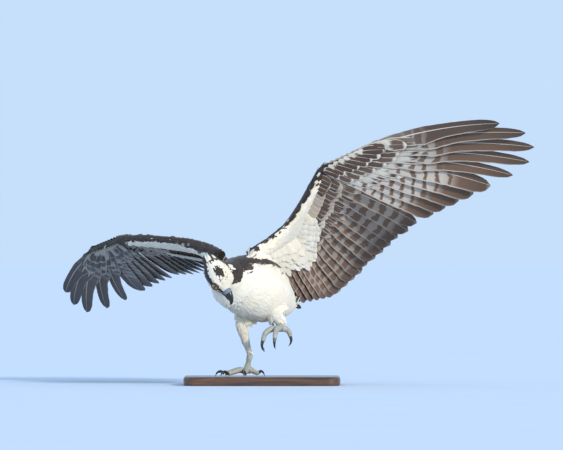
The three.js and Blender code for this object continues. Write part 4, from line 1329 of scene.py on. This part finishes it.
def paint_skin(skin, parts, material):
    """Gives each point of the skin the markings of the part that it lies nearest."""
    mesh = skin.data
    places, normals = mesh_points(mesh)
    places = places / MM
    count = len(places)
    best = np.full(count, 1e9)
    owner = np.zeros(count, int)
    names = list(parts)
    for index, name in enumerate(names):
        points, faces = ring_mesh(parts[name][0])
        tree = BVHTree.FromPolygons([Vector(point) for point in points], faces)
        away = np.array([tree.find_nearest(Vector(place))[3] for place in places])
        owner = np.where(away < best, index, owner)
        best = np.minimum(best, away)
    tint = np.ones((count, 3), np.float32)
    for index, name in enumerate(names):
        chosen = owner == index
        if chosen.any():
            tint[chosen] = plumage(name, places[chosen], normals[chosen])[1]
    colour_points(mesh, "tint", tint)
    mesh.materials.clear()
    mesh.materials.append(material)
    mesh.polygons.foreach_set("use_smooth", np.ones(len(mesh.polygons), bool))


# Eyes, bill and brow
def ring_piece(name, rings, material, marks=None, closed=True):
    """A smooth closed loft as a piece, with its turn and length as a map."""
    count, sides = rings.shape[:2]
    grid, quads = ring_grid(count, sides)
    cells = grid_cells(np.arange(count * (sides + 1)).reshape(count, sides + 1))
    turn = np.tile(np.arange(sides + 1) / sides, count)
    length = np.repeat(np.linspace(0, 1, count), sides + 1)
    corner_places = np.stack([turn, length], -1)[cells.ravel()]
    if closed:
        half = sides // 2
        caps = []
        for ring, order in ((grid[0], 1), (grid[-1], -1)):
            for start in range(half - 1):
                quad = [ring[start], ring[start + 1], ring[sides - 2 - start], ring[sides - 1 - start]]
                caps.append(quad[::-order])
        quads = np.concatenate([quads, np.array(caps)])
        ends = np.repeat([0.0, 1.0], (half - 1) * 4)
        corner_places = np.concatenate([corner_places, np.stack([np.full(len(ends), 0.5), ends], -1)])
    piece = quad_mesh(name, rings.reshape(-1, 3), quads, material, marks, {"vane": corner_places})
    normals_outward(piece)
    return piece


def even_height(rings, height):
    """The look mark of a bare piece whose skin stands equally high all over."""
    return {"look": np.full((rings.shape[0] * rings.shape[1], 3), height)}


def normals_outward(piece, weld=False):
    """Turns the faces of a piece outward, after its doubled points are joined where asked."""
    shape = bmesh.new()
    shape.from_mesh(piece.data)
    if weld:
        bmesh.ops.remove_doubles(shape, verts=shape.verts, dist=1e-6)
    bmesh.ops.recalc_face_normals(shape, faces=shape.faces)
    shape.to_mesh(piece.data)
    shape.free()


def side_name(side):
    return "right" if side > 0 else "left"


def eye_frame(side):
    """The centre of an eye, its axis, and the directions across and up from that axis."""
    axis = unit(head_right * side * 0.88 + head_forward * 0.42 + head_up * 0.16)
    across = unit(np.cross(axis, head_up))
    return head_place(eye_ahead, side * eye_aside, eye_height), axis, across, np.cross(across, axis)


def add_eye(side, material, rim_material):
    """An eyeball with its rings about its own axis, and the dark rim of the lids round it."""
    name = side_name(side)
    centre, axis, across, up = eye_frame(side)
    turn = full_turn(48)
    rings = []
    for angle in np.linspace(0.02, math.pi - 0.02, 40):
        bulge = eye_radius + 0.5 * math.exp(-((angle / 0.55) ** 2))
        around = np.outer(np.cos(turn), across) + np.outer(np.sin(turn), up)
        rings.append(centre + axis * math.cos(angle) * bulge + around * math.sin(angle) * eye_radius)
    piece = ring_piece(f"eyeball_{name}", np.array(rings), material)
    settle(piece, "eye", f"eye_{name}")
    add_lids(side, rim_material)


def lid_opening(turn):
    """How far from the eye's axis the lids open, lower under the brow."""
    return 0.80 + 0.04 * np.cos(2 * turn) - 0.36 * np.clip(np.sin(turn), 0, 1) ** 1.3


def add_lids(side, material):
    """The lids: a shell over the eyeball with a rounded lip, open where the eye looks out."""
    centre, axis, across, up = eye_frame(side)
    turn = full_turn(72)
    outer_share = np.linspace(0, 1, 12)
    rings = []
    for angle, opening in zip(turn, lid_opening(turn)):
        way = across * math.cos(angle) + up * math.sin(angle)
        polar = opening + outer_share * (1.9 - opening)
        lip = 0.9 * np.exp(-(((polar - opening - 0.10) / 0.10) ** 2))
        thick = np.interp(outer_share, [0, 0.04, 0.12, 1], [0.35, 0.9, 1.2, 1.5])
        thick = thick + lip * (1 + 0.6 * max(math.sin(angle), 0))
        shell = [(p, eye_radius + t) for p, t in zip(polar, thick)]
        lining = [(p, eye_radius - 0.6) for p in polar[::-3]]
        rings.append([
            centre + (axis * math.cos(p) + way * math.sin(p)) * reach for p, reach in shell + lining])
    rings = np.array(rings + [rings[0]])
    piece = ring_piece(f"lids_{side_name(side)}", rings, material, even_height(rings, 0.6), closed=False)
    normals_outward(piece, weld=True)
    settle(piece, "foot_skin")


def add_lid_tufts(side, material):
    """Very small feathers that run from the lids out on to the face."""
    centre, axis, across, up = eye_frame(side)
    roots, normals, ways = [], [], []
    for polar in np.arange(0.98, 1.8, 0.15):
        count = int(2 * math.pi * math.sin(polar) * eye_radius / 1.5)
        for angle in (np.arange(count) + draw.random(count) * 0.6) / count * 2 * math.pi:
            way = across * math.cos(angle) + up * math.sin(angle)
            normal = axis * math.cos(polar) + way * math.sin(polar)
            roots.append(centre + normal * (eye_radius + 1.1))
            normals.append(normal)
            ways.append(way * math.cos(polar) - axis * math.sin(polar) - head_forward * 0.5)
    roots, normals, ways = np.array(roots), np.array(normals), np.array(ways)
    count = len(roots)
    aims, outs, ups = lie_frame(ways, normals, 0.22, 0.5)
    length = 3.6 * (0.7 + 0.6 * draw.random(count))
    batch = feather_batch(roots - normals * 0.3, aims, outs, ups, length, 1.9, lance_outline, rows=4,
                          columns=3, slope=0.0, thick=0.3, camber=0.1, droop=0.1, tip=0.62, ragged=0.2)
    tint, dusk = plumage("head", roots, normals)
    first = 0.02 + 0.2 * (side > 0) + draw.random(count) * 0.15
    unwrap = np.stack([first, 0.02 + draw.random(count) * 0.1], -1)
    marks = {"tint": tint, "dusk": dusk}
    piece = feather_piece(f"coat_lids_{side_name(side)}", batch, marks, material, unwrap)
    settle(piece, "white_plumage")


def lie_frame(ways, normals, rise, sway):
    """Aims along the lie of the coat, a little raised and a little uneven, with their sides."""
    count = len(ways)
    ways = unit(ways - normals * np.sum(ways * normals, axis=1, keepdims=True))
    over = unit(np.cross(ways, normals))
    aims = unit(ways + over * (draw.random((count, 1)) - 0.5) * sway
                + normals * rise * (0.8 + 0.5 * draw.random((count, 1))))
    outs = unit(np.cross(aims, normals))
    ups = np.cross(outs, aims)
    ups = np.where(np.sum(ups * normals, axis=1, keepdims=True) < 0, -ups, ups)
    return aims, outs, ups


def add_crest(material):
    """Longer pointed feathers over the nape, a little raised."""
    roots, normals, ways = [], [], []
    for row in range(5):
        count = 17 - row
        for index in range(count):
            share = (index + 0.5 * (row % 2)) / (count - 1) * 2 - 1
            turn = share * 1.25
            around = head_right * math.sin(turn) + head_up * math.cos(turn)
            ahead = -28 - 3.4 * row
            roots.append(head_place(ahead, 0, -2) + around * (24 - 1.1 * row))
            normals.append(around)
            ways.append(-head_forward)
    roots, normals, ways = np.array(roots), np.array(normals), np.array(ways)
    count = len(roots)
    aims, outs, ups = lie_frame(ways, normals, 0.10, 0.25)
    length = np.interp(np.arange(count), [0, count], [11, 22]) * (0.7 + 0.5 * draw.random(count))
    batch = feather_batch(
        roots - normals * 1.5, aims, outs, ups, length, length * 0.32, lance_outline, rows=6, columns=3,
        slope=0.0, thick=0.4, camber=0.1, droop=0.36, tip=0.5, ragged=0.2)
    tint, dusk = plumage("head", roots - head_forward * 4, normals)
    unwrap = np.stack([0.45 + draw.random(count) * 0.2, 0.02 + draw.random(count) * 0.1], -1)
    settle(feather_piece("crest", batch, {"tint": tint, "dusk": dusk}, material, unwrap), "white_plumage")


upper_bill_stations = [(18, -4, 8.5, 8), (25, -4, 7.8, 7.5), (32, -5, 6.6, 6.6), (38, -8, 5.2, 5.6),
                       (42, -13, 3.6, 4), (43, -19, 2, 2.2), (42, -24, 0.8, 0.8)]
lower_bill_stations = [(16, -15, 6.5, 3.2), (24, -14.6, 5.8, 2.8), (31, -14.8, 4.6, 2.2),
                       (36, -15.6, 2.4, 1.4)]


def bill_rings(stations, count, grow=0.0, sharp=0.0):
    """Rings across the bill along its bent axis; sharp draws the ridge to a narrower top."""
    ahead, up, wide, deep = smooth_values(stations, count).T
    centres = np.array([head_place(a, 0, u) for a, u in zip(ahead, up)])
    turn = full_turn(32)
    rings = []
    for index, centre in enumerate(centres):
        along = heading(centres, index)
        rise = unit(np.cross(head_right, along))
        if np.dot(rise, head_up + head_forward) < 0:
            rise = -rise
        narrow = 1 - sharp * np.clip(np.sin(turn), 0, 1) ** 2
        flat = np.outer(np.cos(turn) * narrow * (max(wide[index], 0.3) + grow), head_right)
        rings.append(centre + flat + np.outer(np.sin(turn) * (max(deep[index], 0.3) + grow), rise))
    return np.array(rings)


def add_bill(horn, cere):
    upper = ring_piece("bill_upper_horn", bill_rings(upper_bill_stations, 40, sharp=0.35), horn)
    settle(upper, "bill", "bill_upper")
    lower = ring_piece("bill_lower_horn", bill_rings(lower_bill_stations, 24), horn)
    settle(lower, "bill", "bill_lower")
    stations = [(15, -4.5, 8.9, 8.6), (19, -4.2, 8.8, 8.4), (23, -4.0, 8.3, 8.0), (26.5, -4.1, 7.6, 7.3)]
    rings = bill_rings(stations, 22, grow=0.35, sharp=0.2)
    settle(ring_piece("cere", rings, cere, even_height(rings, 0.7)), "foot_skin")
    for side in (-1, 1):
        add_nostril(side, horn)
    add_gape(cere)


def add_nostril(side, material):
    """A dark slanting slit set in the cere."""
    middle = head_place(24, side * 6.6, -1.6)
    along = unit(head_forward * 0.7 + head_up * 0.7)
    path = [middle - along * 2.1, middle - along * 0.7, middle + along * 0.7, middle + along * 2.1]
    rings = limb_rings(path, [0.25, 0.9, 0.9, 0.25], 10, 12)
    settle(ring_piece(f"nostril_{side_name(side)}", rings, material), "bill")


def add_gape(material):
    """The soft corner of the mouth, from the bill back under the eye."""
    for side in (-1, 1):
        path = [head_place(30, side * 5.6, -11.2), head_place(22, side * 8.0, -12.0),
                head_place(13, side * 12.4, -13.0), head_place(5, side * 17.5, -14.0)]
        rings = limb_rings(path, [0.5, 0.9, 1.2, 0.5], 24, 12)
        piece = ring_piece(f"gape_{side_name(side)}", rings, material, even_height(rings, 0.5))
        settle(piece, "foot_skin")


# Feet
def scale_height(around, along, size, plates):
    """Height of scales on a limb: six-sided scales, or broad plates along the top."""
    best = np.full(around.shape, 1e9)
    row = np.round(along / (size * 0.87))
    for shift in (-1, 0, 1):
        line = row + shift
        offset = np.where(line % 2 == 0, 0.0, 0.5)
        cell = np.round(around / size - offset) + offset
        best = np.minimum(best, np.hypot(around - cell * size, along - line * size * 0.87))
    small = np.clip(1 - (best / (size * 0.56)) ** 2, 0, 1) ** 0.5
    band = size * 1.7
    broad = np.clip(1 - (np.abs(along / band - np.round(along / band)) * 2) ** 6, 0, 1)
    return small * (1 - plates) + broad * plates


def scaly_limb(name, path, radii, size, node, material):
    """A bare limb with its scales standing a little proud, in real relief."""
    sides = 48
    length = sum(np.linalg.norm(np.subtract(path[i + 1], path[i])) for i in range(len(path) - 1))
    count = max(int(length / 0.75), 16)
    rings = limb_rings(path, radii, count, sides)
    centres = rings.mean(axis=1)
    spans = np.linalg.norm(rings - centres[:, None], axis=2)
    away = (rings - centres[:, None]) / spans[..., None]
    reach = np.concatenate([[0], np.cumsum(np.linalg.norm(np.diff(centres, axis=0), axis=1))])
    girth = float(spans.mean()) * 2 * math.pi
    cells = max(round(girth / size), 4)
    around = np.tile(np.arange(sides) / sides * cells * size, (count, 1))
    along = np.tile(reach[:, None], (1, sides))
    plates = step(away[..., 2], 0.25, 0.6)
    height = scale_height(around, along, size, plates)
    ends = np.minimum(np.linspace(0, 1, count), np.linspace(1, 0, count))
    fade = step(ends, 0.0, 0.05)[:, None]
    rings = rings + away * ((height - 0.75) * 0.55 * fade)[..., None]
    rings[..., 2] = np.maximum(rings[..., 2], standing_level)
    marks = {"look": np.repeat(height.reshape(-1, 1), 3, axis=1)}
    settle(ring_piece(name, rings, material, marks), "foot_skin", node)


def curled_line(start, ahead, dips, stride):
    """A line that goes on from its start and dips a little more at each stride."""
    line = [start]
    for dip in dips:
        line.append(line[-1] + ahead * stride * math.cos(dip) - vec(0, 0, stride * math.sin(dip)))
    return line


def toe_path(leg, aim, length):
    ahead = vec(math.cos(aim), math.sin(aim), 0)

    def place(along, up):
        return leg["foot"] + ahead * along + vec(0, 0, up)

    if leg["curled"]:
        return curled_line(place(5, 0), ahead, toe_dips, length / len(toe_dips))
    return [place(5, 0), place(length * 0.35, 2), place(length * 0.7, -2), place(length, -5)]


def claw_path(leg, aim, length, claw):
    ahead = vec(math.cos(aim), math.sin(aim), 0)
    if leg["curled"]:
        return curled_line(toe_path(leg, aim, length)[-1], ahead, claw_dips, claw * 0.3)

    def place(along, up):
        return leg["foot"] + ahead * (length + along) + vec(0, 0, up)

    return [place(1, -5), place(claw * 0.35, -1), place(claw * 0.62, -4), place(claw * 0.75, -10.4)]


def add_foot(leg, skin, horn):
    middle = (leg["heel"] + leg["foot"]) / 2 + vec(0, 0, 1)
    path = [leg["heel"], middle, leg["foot"] + vec(0, 0, 1)]
    name = leg["name"]
    scaly_limb(f"shank_{name}", path, [6.4, 5, 8], 2.6, f"tarsus_{name}", skin)
    for toe, aim, length, claw in leg["toes"]:
        node = f"{toe}_{name}"
        path = toe_path(leg, aim, length)
        scaly_limb(f"scales_{node}", path, [6.5, 6, 5, 4.2], 2.2, f"toe_{node}", skin)
        rings = limb_rings(claw_path(leg, aim, length, claw), [3.4, 2.8, 1.8, 0.4], 30, 24)
        rings[..., 2] = np.maximum(rings[..., 2], standing_level)
        settle(ring_piece(f"talon_{node}", rings, horn), "claw", f"claw_{node}")


# Stage
def add_stage(material):
    radius, corners = 60, 96
    floor = bpy.data.objects.new("floor", bpy.data.meshes.new("floor"))
    turn = full_turn(corners)
    points = np.stack([np.cos(turn) * radius, np.sin(turn) * radius, np.zeros(corners)], -1)
    floor.data.from_pydata(points.tolist(), [], [list(range(corners))])
    floor.data.materials.append(material)
    bpy.context.scene.collection.objects.link(floor)


def add_sun(name, energy, way, size, colour):
    light = bpy.data.lights.new(name, "SUN")
    light.energy = energy
    light.color = colour
    light.angle = size
    lamp = bpy.data.objects.new(name, light)
    lamp.rotation_mode = "QUATERNION"
    lamp.rotation_quaternion = Vector(way).to_track_quat("Z", "Y")
    bpy.context.scene.collection.objects.link(lamp)


def add_camera():
    view_x, view_z, view_wide, distance = 40, 328, 1154, 20000
    camera = bpy.data.cameras.new("camera")
    camera.sensor_width = 36
    camera.lens = camera.sensor_width * distance / view_wide
    camera.clip_end = 200
    holder = bpy.data.objects.new("camera", camera)
    holder.location = vec(view_x, -distance, view_z) * MM
    holder.rotation_euler = (math.pi / 2, 0, 0)
    bpy.context.scene.collection.objects.link(holder)
    bpy.context.scene.camera = holder


def add_world():
    world = bpy.data.worlds.new("world")
    world.use_nodes = True
    sky = world.node_tree.nodes["Background"]
    sky.inputs["Color"].default_value = (*paint(198, 223, 251), 1)
    sky.inputs["Strength"].default_value = 1.0
    bpy.context.scene.world = world
    bpy.context.scene.view_settings.view_transform = "Standard"


add_camera()
add_world()
add_sun("key", 2.9, (0.56, -0.80, 0.36), 0.10, (1.0, 0.94, 0.84))
add_sun("fill", 0.2, (-0.6, -0.8, 0.25), 0.8, (0.86, 0.92, 1.0))
add_stage(floor_material())

quill_paint = feather_material("quills", barred_pattern)
covert_paint = feather_material("coverts", spotted_pattern)
coat_paint = coat_material()
flesh = flesh_parts()
skin = skin_mesh(flesh, coat_depth)
skin_tree = BVHTree.FromObject(skin, bpy.context.evaluated_depsgraph_get())
paint_skin(skin, flesh, skin_material())
settle(skin, "white_plumage", "torso", "neck", "head", "thigh_left", "thigh_right")
for part_name, (part_rings, part_flow) in flesh.items():
    add_coat(part_name, part_rings, part_flow, skin_tree, coat_depth, coat_paint)
for bird_wing in (left_wing, right_wing):
    add_wing(bird_wing, quill_paint, covert_paint)
add_tail(quill_paint, covert_paint)

eye_paint = iris_material()
lid_paint = scaly_material("lid_skin", paint(46, 44, 44), paint(20, 20, 20))
cere_paint = scaly_material("cere_skin", paint(112, 122, 134), paint(60, 64, 70))
foot_paint = scaly_material("foot_scales", paint(164, 164, 152), paint(70, 67, 60))
bill_paint = horn_material("bill_horn", paint(17, 17, 19), paint(44, 45, 50), 0.26)
claw_paint = horn_material("claw_horn", paint(18, 17, 17), paint(58, 54, 50), 0.3)
for eye_side in (-1, 1):
    add_eye(eye_side, eye_paint, lid_paint)
    add_lid_tufts(eye_side, coat_paint)
add_crest(coat_paint)
add_bill(bill_paint, cere_paint)
for bird_leg in (standing_leg, raised_leg):
    add_foot(bird_leg, foot_paint, claw_paint)

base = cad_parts["stand_base"]
base.data.materials.clear()
base.data.materials.append(wood_material())
